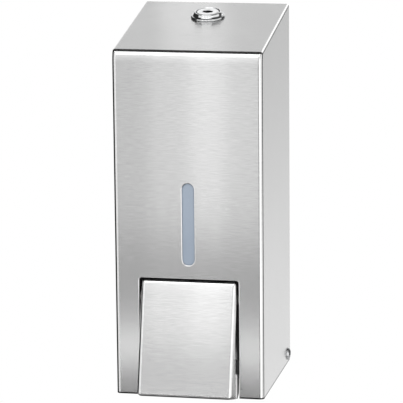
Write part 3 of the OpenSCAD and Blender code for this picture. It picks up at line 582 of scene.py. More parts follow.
white_nylon = moulded_finish("white_nylon", (0.74, 0.74, 0.71), (0.82, 0.82, 0.79), (0.36, 0.5),
                             {"Subsurface Weight": 0.15, "Subsurface Radius": (1, 1, 1),
                              "Subsurface Scale": 0.002})

pivot_profile = [(0, PIVOT_TAIL_IN), (PIVOT_TAIL - 0.3, PIVOT_TAIL_IN), (PIVOT_TAIL, PIVOT_TAIL_IN + 0.4),
                 (PIVOT_TAIL, PIVOT_TAIL_OUT), (PIVOT_SHANK, PIVOT_TAIL_OUT), (PIVOT_SHANK, PIVOT_SEAT)]
pivot_profile += [(PIVOT_HEAD - inset, PIVOT_SEAT + rise) for inset, rise in PIVOT_RIM]
pivot_profile += dome(PIVOT_HEAD - PIVOT_DOME_INSET, PIVOT_HEAD_HEIGHT - PIVOT_DOME_SEAT,
                      PIVOT_SEAT + PIVOT_DOME_SEAT, 10)
washer_profile = ring_section(PIVOT_SHANK + RUNNING_FIT, WASHER_RADIUS, WASHER_IN, WASHER_OUT, 0.15)
pivots = [Matrix.Translation((0, PIVOT_Y, PIVOT_H)) @ outward[side] for side in (-1, 1)]
fit("pivot_rivet_pair", turned_set(pivot_profile, pivots), polished, "wall_unit", "bright_lock",
    "pivot_rivets")
fit("pivot_washer_pair", turned_set(washer_profile, pivots), white_nylon, "wall_unit", "white_plastic",
    "pivot_washers")


# Soap tank: a moulded tank of milky plastic with two stiffening grooves round it, open at the top. It stands
# on the shelf, and its neck goes down through the shelf's hole.
TANK_HALF, TANK_FRONT, TANK_REAR = 45, -97.3, -11
TANK_FOOT, TANK_RIM = 86, 192.2
TANK_WALL, TANK_EDGE, TANK_FOOT_R = 2, 6, 4
TANK_RIM_ROUND = ((0, 0.5), (0.15, 0.15), (0.5, 0))
TANK_GROOVES, TANK_GROOVE_DEPTH, TANK_GROOVE_HALF = (121, 157), 0.9, 2.6
TANK_GROOVE_FORM = ((-1, 0), (-0.7, 0.3), (-0.35, 0.9), (0, 1), (0.35, 0.9), (0.7, 0.3), (1, 0))
NECK_RADIUS, NECK_BORE, NECK_FOOT, NECK_ROOT = 12, 9, 72, 1
DRAIN_PAST = 5


def tank_outline(inset, height, steps=6):
    """Points round the tank at a height, set in from its outside."""
    half_w, half_d = TANK_HALF - inset, (TANK_REAR - TANK_FRONT) / 2 - inset
    radius = TANK_EDGE - inset
    middle = (TANK_REAR + TANK_FRONT) / 2
    points = []
    for turn, (sx, sy) in enumerate(((1, 1), (-1, 1), (-1, -1), (1, -1))):
        edge = (sx * (half_w - radius), middle + sy * (half_d - radius))
        points += [(x, y, height) for x, y in arc(radius, math.pi / 2 * turn, math.pi / 2, steps, edge)]
    return points


def lofted(layers, ring=False, place=Matrix()):
    """A skin over a stack of outlines with equal numbers of points. A ring's last outline meets its first,
    and any other stack is closed at both ends."""
    shape = bmesh.new()
    rows = [[shape.verts.new(place @ Vector(point)) for point in layer] for layer in layers]
    for low, high in zip(rows, rows[1:] + rows[:1] if ring else rows[1:]):
        for i in range(len(low)):
            j = (i + 1) % len(low)
            shape.faces.new((low[i], low[j], high[j], high[i]))
    if not ring:
        shape.faces.new(reversed(rows[0]))
        shape.faces.new(rows[-1])
    bmesh.ops.recalc_face_normals(shape, faces=shape.faces)
    return to_mesh(shape)


def quarter(radius, steps=4):
    """Setbacks and rises of a quarter round, from its foot to its side."""
    angles = [math.pi / 2 * k / steps for k in range(steps + 1)]
    return [(radius * (1 - math.sin(angle)), radius * (1 - math.cos(angle))) for angle in angles]


milky = moulded_finish("milky_tank_plastic", (0.74, 0.78, 0.79), (0.82, 0.85, 0.85), (0.3, 0.42),
                       {"Subsurface Weight": 0.5, "Subsurface Radius": (1, 1, 1), "Subsurface Scale": 0.004,
                        "Transmission Weight": 0.12}, 18.0)

tank_layers = [tank_outline(inset, TANK_FOOT + rise) for inset, rise in quarter(TANK_FOOT_R)]
for groove in TANK_GROOVES:
    tank_layers += [tank_outline(depth * TANK_GROOVE_DEPTH, groove + share * TANK_GROOVE_HALF)
                    for share, depth in TANK_GROOVE_FORM]
tank_layers += [tank_outline(inset, TANK_RIM - drop) for inset, drop in TANK_RIM_ROUND]
tank_layers += [tank_outline(TANK_WALL - inset, TANK_RIM - drop) for inset, drop in reversed(TANK_RIM_ROUND)]
tank_layers += [tank_outline(TANK_WALL + inset, TANK_FOOT + TANK_WALL + rise)
                for inset, rise in reversed(quarter(TANK_FOOT_R - TANK_WALL))]
drain = prism(circle(NECK_BORE), NECK_FOOT - DRAIN_PAST, TANK_FOOT + TANK_WALL + DRAIN_PAST, neck_place)
neck = turned(ring_section(NECK_BORE, NECK_RADIUS, NECK_FOOT, TANK_FOOT + NECK_ROOT, 0.4), neck_place)
fit("milky_tank", joined(cut(lofted(tank_layers), drain), neck), milky, "wall_unit", "milky_plastic",
    "soap_tank")


# Neck gasket and union nut: a rubber ring between the neck and the pump's pipe, and the eight-sided nut
# of black plastic that is screwed up over both.
GASKET_LOW, GASKET_HIGH, PIPE_BORE = 70, 72, 5
NUT_LOW, NUT_HIGH, NUT_RADIUS, NUT_SIDES = 62, 82, 16, 8
NUT_FLOOR, NUT_PIPE_BORE, NUT_NECK_BORE = 66, 10.05, 12.05
NUT_BEVEL_IN, NUT_BEVEL_UP = 1.4, 1.2

black_plastic = moulded_finish("black_plastic", (0.016, 0.017, 0.018), (0.028, 0.029, 0.03), (0.32, 0.46), {},
                               60.0)
rubber = moulded_finish("black_rubber", (0.018, 0.018, 0.019), (0.035, 0.035, 0.036), (0.55, 0.75), {}, 90.0)
gasket_profile = ring_section(PIPE_BORE, NECK_RADIUS, GASKET_LOW, GASKET_HIGH, 0.3)
fit("gasket_ring", turned(gasket_profile, neck_place), rubber, "wall_unit", "black_rubber", "neck_gasket")


def flats(count, least):
    """A form with flat sides on every radius above the least."""
    sector = math.tau / count
    return lambda angle, radius: (radius * math.cos(sector / 2) / math.cos(angle % sector - sector / 2)
                                  if radius > least else radius)


nut_profile = [(NUT_PIPE_BORE, NUT_LOW), (NUT_RADIUS - NUT_BEVEL_IN, NUT_LOW),
               (NUT_RADIUS, NUT_LOW + NUT_BEVEL_UP),
               (NUT_RADIUS, NUT_HIGH - NUT_BEVEL_UP), (NUT_RADIUS - NUT_BEVEL_IN, NUT_HIGH),
               (NUT_NECK_BORE, NUT_HIGH), (NUT_NECK_BORE, NUT_FLOOR), (NUT_PIPE_BORE, NUT_FLOOR)]
# Painted shade: the nut is black in place of the shade inside the cover.
fit("eight_sided_nut", turned(nut_profile, neck_place, 96, flats(NUT_SIDES, NUT_RADIUS - 1)), black_plastic,
    "wall_unit", "black_plastic", "union_nut")


# Pump body and gland: the black plastic cylinder that hangs from the neck, which keeps its CAD shape, and the
# fluted cap that closes its front round the plunger's rod.
PUMP_H = 34
ROD_RADIUS = 4
GLAND_FRONT, GLAND_SEAT, GLAND_REAR = -89.97, -85.97, -80.97
GLAND_RADIUS, PUMP_RADIUS = 14.5, 12.05
FLUTES, FLUTE_DEPTH, FLUTED_FROM = 24, 0.5, 14.3
along_pump = Matrix.Translation((0, 0, PUMP_H)) @ Matrix.Rotation(-math.pi / 2, 4, "X")


def flutes(angle, radius):
    """A form with finger flutes on the gland's rim."""
    depth = FLUTE_DEPTH * (0.5 + 0.5 * math.cos(FLUTES * angle)) ** 2
    return radius - depth if radius > FLUTED_FROM else radius


def dress(name, finish):
    """Gives a CAD node that stays in sight its finish."""
    for holder in frame["nodes"][name].material_slots:
        holder.material = finish


# Painted shade: the pump body and its gland are black in place of the shade inside the cover.
dress("pump_body", black_plastic)
gland_bore = ROD_RADIUS + RUNNING_FIT
gland_profile = [(gland_bore, GLAND_FRONT), (GLAND_RADIUS - 1, GLAND_FRONT),
                 (GLAND_RADIUS - 0.5, GLAND_FRONT + 0.2), (GLAND_RADIUS, GLAND_FRONT + 1),
                 (GLAND_RADIUS, GLAND_REAR - 0.6), (GLAND_RADIUS - 0.5, GLAND_REAR),
                 (PUMP_RADIUS, GLAND_REAR), (PUMP_RADIUS, GLAND_SEAT), (gland_bore, GLAND_SEAT)]
fit("fluted_gland", turned(gland_profile, along_pump, 192, flutes), black_plastic, "wall_unit",
    "black_plastic", "pump_gland")


# Valves and spout: two silicone sleeves that narrow to a lip, above and below the pump, and the black cone
# under it that the soap drops from.
INLET_TOP, OUTLET_TOP = 70, 15
VALVE_FLANGE, VALVE_FLANGE_T, VALVE_RADIUS = 8, 1.5, 4.4
VALVE_LIP, VALVE_LENGTH, VALVE_WALL = 1.4, 8, 1.2
SPOUT_TIP, SPOUT_TIP_TOP, SPOUT_CONE_TOP, SPOUT_FLOOR, SPOUT_TOP = 4, 7, 11.5, 13.5, 21.5
SPOUT_TIP_R, SPOUT_TIP_BORE, SPOUT_BORE, SPOUT_SKIRT_BORE, SPOUT_SKIRT = 5, 3, 4.8, 8.05, 10.05

silicone = moulded_finish("clear_silicone", (0.62, 0.66, 0.67), (0.7, 0.73, 0.73), (0.4, 0.55),
                          {"Subsurface Weight": 0.4, "Subsurface Radius": (1, 1, 1),
                           "Subsurface Scale": 0.002}, 70.0)


def lip_valve(top):
    """A sleeve with a flange, narrowing to its closed lip."""
    seat, tip = top - VALVE_FLANGE_T, top - VALVE_FLANGE_T - VALVE_LENGTH
    shoulder = seat - VALVE_LENGTH / 3
    bore = VALVE_RADIUS - VALVE_WALL
    outline = eased([(bore, top), (VALVE_FLANGE, top), (VALVE_FLANGE, seat), (VALVE_RADIUS, seat),
                     (VALVE_RADIUS, shoulder), (VALVE_LIP, tip)], 0.35)
    return turned(outline + [(0, tip), (0, tip + VALVE_WALL), (bore, shoulder)], neck_place)


fit("inlet_sleeve", lip_valve(INLET_TOP), silicone, "wall_unit", "silicone", "inlet_valve")
fit("outlet_sleeve", lip_valve(OUTLET_TOP), silicone, "wall_unit", "silicone", "outlet_valve")
spout_profile = eased([(SPOUT_TIP_BORE, SPOUT_TIP), (SPOUT_TIP_R, SPOUT_TIP), (SPOUT_TIP_R, SPOUT_TIP_TOP),
                       (SPOUT_SKIRT, SPOUT_CONE_TOP), (SPOUT_SKIRT, SPOUT_TOP), (SPOUT_SKIRT_BORE, SPOUT_TOP),
                       (SPOUT_SKIRT_BORE, SPOUT_FLOOR), (SPOUT_BORE, SPOUT_FLOOR),
                       (SPOUT_BORE, SPOUT_TIP_TOP - 1), (SPOUT_TIP_BORE, SPOUT_TIP_TOP - 1)], 0.6)
fit("drip_spout", turned(spout_profile, neck_place), black_plastic, "wall_unit", "black_plastic",
    "spout_nozzle")


# Plunger: a nylon rod with a seat for the spring in front and a grooved piston behind, a rubber ring in the
# groove, and a ribbed rubber pad on its front end that the flap pushes.
SEAT_RADIUS, SEAT_FRONT, SEAT_REAR = 9, -111.97, -109.97
PISTON_RADIUS, PISTON_FRONT, PISTON_REAR = 8.7, -80.97, -72.97
GROOVE_RADIUS, GROOVE_HALF = 6.5, 1.35
RING_MEAN, RING_WIRE = 7.75, 1.2
PAD_TIP, PAD_RADIUS, PAD_DOME, PAD_SOCKET, PAD_EDGE = -116.17, 9, 15, 2, 0.2
PAD_RIBS, PAD_RIB_DEPTH, PAD_STEPS, PAD_RIM = 4, 0.12, 32, 0.25
groove_y = (PISTON_FRONT + PISTON_REAR) / 2
socket_y = SEAT_FRONT - PAD_SOCKET

plunger_profile = eased([(0, socket_y), (ROD_RADIUS, socket_y), (ROD_RADIUS, SEAT_FRONT),
                         (SEAT_RADIUS, SEAT_FRONT), (SEAT_RADIUS, SEAT_REAR), (ROD_RADIUS, SEAT_REAR),
                         (ROD_RADIUS, PISTON_FRONT), (PISTON_RADIUS, PISTON_FRONT),
                         (PISTON_RADIUS, groove_y - GROOVE_HALF), (GROOVE_RADIUS, groove_y - GROOVE_HALF),
                         (GROOVE_RADIUS, groove_y + GROOVE_HALF), (PISTON_RADIUS, groove_y + GROOVE_HALF),
                         (PISTON_RADIUS, PISTON_REAR), (0, PISTON_REAR)], 0.25)
fit("plunger_rod", turned(plunger_profile, along_pump), white_nylon, "pump_plunger", "white_plastic",
    "plunger")
ring_profile = [(RING_MEAN + RING_WIRE * x, groove_y + RING_WIRE * y) for x, y in circle(1, 20)]
fit("piston_seal_ring", turned(ring_profile, along_pump), rubber, "pump_plunger", "black_rubber",
    "piston_ring")

pad_face = []
for k in range(PAD_STEPS + 1):
    radius = (PAD_RADIUS - PAD_EDGE) * (1 - k / PAD_STEPS)
    rib = PAD_RIB_DEPTH * (1 - math.cos(math.tau * PAD_RIBS * k / PAD_STEPS)) / 2
    pad_face.append((radius, PAD_TIP + PAD_DOME - math.sqrt(PAD_DOME ** 2 - radius ** 2) + rib))
pad_profile = [(0, socket_y), (ROD_RADIUS, socket_y), (ROD_RADIUS, SEAT_FRONT), (PAD_RADIUS, SEAT_FRONT),
               (PAD_RADIUS, pad_face[0][1] + PAD_RIM)] + pad_face
fit("ribbed_push_pad", turned(pad_profile, along_pump), rubber, "pump_plunger", "black_rubber", "push_pad")


# Return spring: six turns of bright spring wire between the plunger's seat and the gland, with its end turns
# closed up.
SPRING_MEAN, SPRING_WIRE, SPRING_TURNS, SPRING_ROOM = 6.4, 1.2, 6, 0.05
SPRING_END_TURNS, SPRING_END_PITCH = 0.75, 1.8
WIRE_STEPS, WIRE_SIDES, WIRE_NUDGE = 40, 12, 0.01
spring_length = GLAND_FRONT - SEAT_REAR
spring_rise = spring_length - SPRING_WIRE - 2 * SPRING_ROOM
spring_pitch = (spring_rise - 2 * SPRING_END_TURNS * SPRING_END_PITCH) / (SPRING_TURNS - 2 * SPRING_END_TURNS)


def wire_at(turn):
    """The middle of the wire after a number of turns."""
    rise = (min(turn, SPRING_END_TURNS) + max(0, turn - SPRING_TURNS + SPRING_END_TURNS)) * SPRING_END_PITCH
    rise += max(0, min(turn, SPRING_TURNS - SPRING_END_TURNS) - SPRING_END_TURNS) * spring_pitch
    angle = math.tau * turn
    return Vector((SPRING_MEAN * math.cos(angle), SPRING_MEAN * math.sin(angle),
                   SEAT_REAR + SPRING_WIRE / 2 + SPRING_ROOM + rise))


wire_layers = []
for k in range(SPRING_TURNS * WIRE_STEPS + 1):
    turn = k / WIRE_STEPS
    here, run = wire_at(turn), (wire_at(turn + WIRE_NUDGE) - wire_at(turn - WIRE_NUDGE)).normalized()
    out = Vector((math.cos(math.tau * turn), math.sin(math.tau * turn), 0))
    side = run.cross(out).normalized()
    wire_layers.append([here + (out * x + side * y) for x, y in circle(SPRING_WIRE / 2, WIRE_SIDES)])
spring_steel = handled_finish("spring_steel", (0.42, 0.42, 0.43), (0.58, 0.58, 0.59), 150.0, (0.2, 0.34))
spring = fit("wound_spring", lofted(wire_layers, place=along_pump), spring_steel, "wall_unit", "plated_steel",
             "pump_spring")
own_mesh(spring)


# Tank lid: a white moulded plate with a grip bar, which lies on the tank's rim over a flat silicone seal. A
# lip under it goes down inside the tank.
LID_LOW, LID_HIGH, LID_LIP, LID_LIP_WALL, LID_GAP, LID_LIP_ROOT = 193.2, 195.0, 189.7, 1.8, 0.15, 0.5
GRIP_HALF, GRIP_HALF_DEPTH, GRIP_TOP, GRIP_ROOT, GRIP_CORNER = 20, 3, 199.0, 0.9, 2.4
SEAL_LOW, SEAL_HIGH, SEAL_INSET = 192.2, 193.2, 0.05


def slab(outline, low, high, ease_by):
    """Layers of a flat piece with its upper and lower edges rounded."""
    rises = quarter(ease_by, 3)
    return ([outline(inset, low + rise) for inset, rise in rises]
            + [outline(inset, high - rise) for inset, rise in reversed(rises)])


def hoop(outer, inner, start, turn):
    """Layers of a ring along the tank's outline: from a start height to where it turns back, and in again."""
    line = ((outer, start), (outer, turn), (inner, turn), (inner, start))
    return [tank_outline(inset, height) for inset, height in line]


def grip_outline(inset, height):
    half_w, half_d = GRIP_HALF - inset, GRIP_HALF_DEPTH - inset
    corners = [(-half_w, -half_d), (half_w, -half_d), (half_w, half_d), (-half_w, half_d)]
    return [(x, NECK_Y + y, height) for x, y in eased(corners, GRIP_CORNER - inset, 5)]


lip_out = TANK_WALL + LID_GAP
lid_lip = hoop(lip_out, lip_out + LID_LIP_WALL, LID_LOW + LID_LIP_ROOT, LID_LIP)
lid_mesh = joined(lofted(slab(tank_outline, LID_LOW, LID_HIGH, 0.7)),
                  deburred(lofted(lid_lip, ring=True), 0.3),
                  lofted(slab(grip_outline, LID_HIGH - GRIP_ROOT, GRIP_TOP, 0.8)))
fit("white_lid", lid_mesh, white_nylon, "filler_lid", "white_plastic", "tank_lid")
seal_layers = hoop(SEAL_INSET, TANK_WALL - SEAL_INSET, SEAL_LOW, SEAL_HIGH)
fit("flat_seal", deburred(lofted(seal_layers, ring=True), 0.25), silicone, "filler_lid", "silicone",
    "lid_seal")


# Cover: brushed stainless sheet with the grain running round it. One blank makes the front and the sides, the
# top is bent back from the front and welded to the sides, and the flap's opening leaves two ears folded in.
# A nearly black coat on its inside and on the ears is painted shade for the inside of the cover.
GAUGE = 1.2
COVER_HALF, COVER_FRONT, COVER_REAR = 50, -106.5, -1.5
FRONT_TOP, REAR_TOP = 232, 250
EDGE_BEND, TOP_BEND, WELD_EDGE, HEEL = 2.9, 3.0, 1.7, 2.5
SHOULDER, SHOULDER_STEPS, SHOULDER_SLOPE = 8.4, (8.4, 7.4, 6.4, 5.4, 4.4, 3.3, 0.0), 0.32
OPENING_HALF, OPENING_TOP, OPENING_R, OPENING_PAST = 33.5, 80, 2, -10
SLOT_WIDTH, SLOT_HEIGHT, SLOT_MIDDLE = 8, 55, 117
LOCK_HOLE, PIVOT_HOLE = 8.05, 2.55
EDGE_ROUND = 0.65
HINGE_Y, HINGE_H, HINGE_EAR = -99.5, 66, 6
# The third value here and the two ranges below paint shade into the steel: nearly black on faces that look
# down and along the lowest millimetre.
STEEL_DARK, STEEL_LIGHT, STEEL_SHADE = 0.60, 0.68, 0.04
SHADE_FACING, SHADE_HEIGHT = (-0.5, -0.2), (0.0008, 0.0013)
INSIDE = 1
top_slope = math.atan2(REAR_TOP - FRONT_TOP, COVER_REAR - COVER_FRONT)
lock_joint = frame["joints"][1]
lock_place = row.inverted() @ Vector(lock_joint["pos_m"])
on_lock = Matrix.Translation(lock_place) @ Matrix.Rotation(top_slope, 4, "X")

grain, grain_in, grain_out = effect("brushed_grain", {"Along": 20.0, "Across": 3000.0}, ("Streak", "Band"))
grain_coords = node(grain, "TexCoord")
grain_at = node(grain, "SeparateXYZ", {0: grain_coords.outputs["Object"]})
grain_facing = node(grain, "SeparateXYZ", {0: grain_coords.outputs["Normal"]})
upward = ease(grain, reckon(grain, "ABSOLUTE", grain_facing.outputs["Z"]), 0.6, 0.7)


def grain_noise(share, detail):
    """Streaks along the grain: thin across upright panels by height, and across flat ones by depth."""
    reach = {"Along": grain_in.outputs["Along"],
             "Across": reckon(grain, "MULTIPLY", grain_in.outputs["Across"], share)}

    def stretched(**ways):
        scaled = {axis: reckon(grain, "MULTIPLY", grain_at.outputs[axis], reach[way])
                  for axis, way in ways.items()}
        return node(grain, "CombineXYZ", scaled).outputs[0]

    upright = stretched(X="Along", Y="Along", Z="Across")
    level = stretched(X="Along", Y="Across", Z="Along")
    at = node(grain, "Mix", {0: upward, 4: upright, 5: level}, data_type="VECTOR").outputs[1]
    noise = node(grain, "TexNoise", {"Vector": at, "Scale": 1.0, "Detail": detail, "Roughness": 0.65})
    return noise.outputs[0]


grain.links.new(ease(grain, grain_noise(1.0, 3.0), 0.25, 0.75), grain_out.inputs["Streak"])
grain.links.new(ease(grain, grain_noise(0.6, 3.0), 0.25, 0.75), grain_out.inputs["Band"])

brushed, brush_tree, brush_shader = new_finish("brushed_stainless", {"Metallic": 1.0, "Anisotropic": 0.85})
brush_grain = place_effect(brush_tree, grain, Along=140.0, Across=3400.0)
brush_marks = place_effect(brush_tree, handling, Scale=14.0)
grain_tone = reckon(brush_tree, "ADD", brush_grain.outputs["Streak"], brush_grain.outputs["Band"])
brush_coords = node(brush_tree, "TexCoord")
brush_height = node(brush_tree, "SeparateXYZ", {0: brush_coords.outputs["Object"]}).outputs["Z"]
brush_facing = node(brush_tree, "SeparateXYZ", {0: brush_coords.outputs["Normal"]}).outputs["Z"]
# Painted shade: the steel is made nearly black where its faces look downwards and along its lowest
# millimetre, in place of the shade under the edges.
shade_low, shade_high = (base_z + height for height in SHADE_HEIGHT)
painted_underside_shade = reckon(brush_tree, "MAXIMUM", ease(brush_tree, brush_facing, *SHADE_FACING, 1.0, 0.0),
                   ease(brush_tree, brush_height, shade_low, shade_high, 1.0, 0.0))
brush_tone = mix(brush_tree, ease(brush_tree, grain_tone, 0.2, 1.8), grey(STEEL_DARK), grey(STEEL_LIGHT))
brush_tone = mix(brush_tree, painted_underside_shade, brush_tone, grey(STEEL_SHADE))
brush_tree.links.new(brush_tone, brush_shader.inputs["Base Color"])
brush_rough = reckon(brush_tree, "ADD", ease(brush_tree, brush_grain.outputs["Band"], 0.0, 1.0, 0.0, 0.01),
                     ease(brush_tree, brush_marks.outputs["Smudge"], 0.0, 1.0, 0.215, 0.225))
worn_bend = node(brush_tree, "Attribute", attribute_name="bend").outputs["Fac"]
bend_gloss = ease(brush_tree, worn_bend, 0.0, 1.0, 1.0, 0.55)
brush_rough = reckon(brush_tree, "MULTIPLY", brush_rough, bend_gloss)
brush_tree.links.new(brush_rough, brush_shader.inputs["Roughness"])
across_grain = node(brush_tree, "CombineXYZ", {"Z": 1.0}).outputs[0]
brush_tree.links.new(across_grain, brush_shader.inputs["Tangent"])
# Painted shade: this nearly black coat goes on the cover's inside and its ears, and on the flap's tabs and
# the rear of its wings, in place of the shade inside the cover.
shade_lining = moulded_finish("painted_shade_coat", (0.03, 0.03, 0.031), (0.05, 0.05, 0.051), (0.6, 0.75), {}, 50.0,
                        0.00008)


def coated(mesh, index):
    """The mesh with all its faces in one of its piece's finishes."""
    for face in mesh.polygons:
        face.material_index = index
    return mesh


def stadium(width, height, steps=16):
    """A slot outline with round ends, standing on its middle."""
    radius = width / 2
    reach = height / 2 - radius
    return arc(radius, 0, math.pi, steps, (0, reach)) + arc(radius, math.pi, math.pi, steps, (0, -reach))


def shoulder_rows(top, depth, drops, slope):
    """Heights and setbacks of a panel that curves back over a depth below its top."""
    return [(top - drop, slope * (depth - drop) ** 2 / (2 * depth)) for drop in drops]


levels = [(0, 0.0)] + shoulder_rows(FRONT_TOP, SHOULDER, SHOULDER_STEPS, SHOULDER_SLOPE)
heel = [(COVER_REAR - inset, rise) for inset, rise in quarter(HEEL)]
cover_corners = {}
for side, x in (("left", -COVER_HALF), ("right", COVER_HALF)):
    for i, (height, setback) in enumerate(levels):
        cover_corners[f"{side}{i}"] = (x, COVER_FRONT + setback, height)
    for i, (y, height) in enumerate(heel):
        cover_corners[f"{side}_heel{i}"] = (x, y, height)
    cover_corners[side + "_rear"] = (x, COVER_REAR, REAR_TOP)
last = len(levels) - 1
left_side = ([f"left_heel{i}" for i in range(len(heel) - 1, -1, -1)]
             + [f"left{i}" for i in range(last + 1)] + ["left_rear"])
right_side = [name.replace("left", "right") for name in reversed(left_side)]
cover_panels = [(f"left{i}", f"right{i}", f"right{i + 1}", f"left{i + 1}") for i in range(last)]
cover_panels += [left_side, right_side, (f"left{last}", f"right{last}", "right_rear", "left_rear")]
cover_folds = {(f"left{last}", f"right{last}"): TOP_BEND}
for side in ("left", "right"):
    cover_folds.update({(f"{side}{i}", f"{side}{i + 1}"): EDGE_BEND for i in range(last)})
    cover_folds[f"{side}{last}", side + "_rear"] = WELD_EDGE


def flared(outline, middle=0.0):
    """A cutter through the front that leaves its edge rounded."""
    layers = [(-COVER_FRONT - 3 * GAUGE, 0)]
    layers += [(-COVER_FRONT - sink, grow) for grow, sink in reversed(quarter(EDGE_ROUND, 5))]
    layers += [(-COVER_FRONT + GAUGE, EDGE_ROUND)]
    outlines = [[(x, y + middle, depth) for x, y in outline(grow)] for depth, grow in layers]
    return lofted(outlines, place=forward)


def opening_outline(grow):
    side, top = OPENING_HALF + grow, OPENING_TOP + grow
    corners = [(-side, top), (-side, OPENING_PAST), (side, OPENING_PAST), (side, top)]
    return eased(corners, OPENING_R + grow, 6)


cover_tools = [flared(opening_outline),
               flared(lambda grow: stadium(SLOT_WIDTH + 2 * grow, SLOT_HEIGHT + 2 * grow), SLOT_MIDDLE),
               prism(circle(LOCK_HOLE, 64), -4 * GAUGE, 2 * GAUGE, on_lock),
               prism(circle(PIVOT_HOLE), -2 * COVER_HALF, 2 * COVER_HALF,
                     Matrix.Translation((0, PIVOT_Y, PIVOT_H)) @ across)]
ear_root = COVER_FRONT + GAUGE / 2
ear_outline = [(ear_root, HINGE_H - HINGE_EAR),
               *arc(HINGE_EAR, -math.pi / 2, math.pi, 16, (HINGE_Y, HINGE_H)),
               (ear_root, HINGE_H + HINGE_EAR)]
ears = [coated(deburred(prism(ear_outline, low, low + GAUGE, across)), INSIDE)
        for low in (-OPENING_HALF - GAUGE, OPENING_HALF)]
cover_sheet = folded_sheet(cover_corners, cover_panels, cover_folds, GAUGE, cover_tools)
fit("brushed_cover", joined(cover_sheet, *ears), (brushed, shade_lining), "cover_unit", "brushed_cover", "cover")


# Sight window: a smoky blue strip of polycarbonate, held behind the front by its rim. Its raised land fills
# the slot a little below the steel, so that the soap's level shows.
WINDOW_RIM, WINDOW_LAND, WINDOW_SEAT, WINDOW_REAR = 4, -105.35, -105.3, -103.3
WINDOW_ROOM, LAND_ROOT = 0.1, 0.5

smoky = moulded_finish("smoky_polycarbonate", (0.30, 0.358, 0.435), (0.35, 0.407, 0.49), (0.2, 0.28),
                       {"Transmission Weight": 0.2, "Coat Weight": 0.3, "Coat Roughness": 0.08}, 25.0,
                       0.000008)


def window_outline(grow):
    """Outlines of the slot's shape, larger all round by half of grow."""
    width, height = SLOT_WIDTH + grow, SLOT_HEIGHT + grow
    return lambda inset, level: [(x, y, level) for x, y in stadium(width - 2 * inset, height - 2 * inset)]


window_place = Matrix.Translation((0, 0, SLOT_MIDDLE)) @ forward
window_rim = slab(window_outline(2 * WINDOW_RIM), -WINDOW_REAR, -WINDOW_SEAT, 0.3)
window_land = slab(window_outline(-WINDOW_ROOM), -WINDOW_REAR - LAND_ROOT, -WINDOW_LAND, 0.25)
window_mesh = joined(*(lofted(layers, place=window_place) for layers in (window_rim, window_land)))
fit("sight_strip", window_mesh, smoky, "cover_unit", "window", "sight_window")


# Lock: a chromed cam lock in the top plate, held from below by a hexagon nut. The plug with its keyway turns
# in the housing, and carries a plated cam on its tail under a slotted screw. A nearly black liner and shutter
# in the keyway are painted shade for the depth of its hole.
FLANGE_RADIUS, FLANGE_HEIGHT, FACE_RADIUS, FACE_HEIGHT = 11.5, 1.4, 9.3, 3.8
BARREL_RADIUS, BARREL_LENGTH = 8, 17
THREAD_TOP, THREAD_STEP, THREAD_DEPTH, THREAD_POINTS = -1.6, 0.6, 0.35, 25
PLUG_BORE, PLUG_HEAD, PLUG_SEAT, PLUG_TOP, SHAFT_BORE, SHAFT_RADIUS = 7.8, 7.75, 1.0, 3.7, 6.05, 6.0
KEYWAY_WIDTH, KEYWAY_THICK, KEYWAY_DEPTH, KEYWAY_HOLE, KEYWAY_LINER = 6.4, 3.2, 8, 2.6, 0.12
LINER_DROP, SHUTTER_DROP, SHUTTER_ROOM = 0.17, 1.6, 0.5
HEX_RADIUS, HEX_LOW, HEX_HIGH, HEX_SIDES = 12.7, -4.2, -1.2, 6
CAM_TOP, CAM_BOTTOM, CAM_HUB, CAM_HALF, CAM_LENGTH = -17.2, -19.2, 7, 5, 20
TAIL_RADIUS, TAIL_HALF = 3.5, 2.5
SCREW_HEAD_RADIUS, SCREW_HEAD_LOW, SCREW_SHANK, SCREW_TOP = 4.5, -21.2, 1.5, -12.5
SCREW_SLOT_REACH, SCREW_SLOT_HALF, SCREW_SLOT_DEPTH = 6, 0.6, 1
SPANGLE_SCALE = 160.0

chrome = handled_finish("bright_chrome", (0.60, 0.605, 0.61), (0.68, 0.685, 0.69), 110.0, (0.06, 0.12),
                        "Smudge")
collar = [(FLANGE_RADIUS - 0.35, FLANGE_HEIGHT), (10.3, 1.55), (9.75, 1.95), (9.5, 2.6),
          (9.4, FACE_HEIGHT - 0.5)]
thread = [(BARREL_RADIUS - (THREAD_DEPTH if k % 2 else 0), THREAD_TOP - THREAD_STEP * k)
          for k in range(THREAD_POINTS)]
housing_profile = [(SHAFT_BORE, -BARREL_LENGTH), (BARREL_RADIUS - 0.4, -BARREL_LENGTH)] + thread[::-1]
housing_profile += [(BARREL_RADIUS, 0), (FLANGE_RADIUS - 0.3, 0), (FLANGE_RADIUS, 0.3),
                    (FLANGE_RADIUS, FLANGE_HEIGHT - 0.35), (FLANGE_RADIUS - 0.12, FLANGE_HEIGHT - 0.1)]
housing_profile += collar
housing_profile += [(FACE_RADIUS - 0.05, FACE_HEIGHT - 0.25), (FACE_RADIUS - 0.3, FACE_HEIGHT - 0.04),
                    (FACE_RADIUS - 0.6, FACE_HEIGHT), (PLUG_BORE + 0.45, FACE_HEIGHT),
                    (PLUG_BORE, FACE_HEIGHT - 0.6), (PLUG_BORE, PLUG_SEAT), (SHAFT_BORE, PLUG_SEAT)]
fit("lock_body", turned(housing_profile, on_lock, 128), chrome, "cover_unit", "bright_lock", "lock_housing")


def spangle(tree):
    """The tone of a zinc coat's crystals."""
    at = node(tree, "TexCoord").outputs["Object"]
    crystals = node(tree, "TexVoronoi", {"Vector": at, "Scale": SPANGLE_SCALE, "Randomness": 1.0})
    return node(tree, "RGBToBW", {0: crystals.outputs["Color"]}).outputs[0]


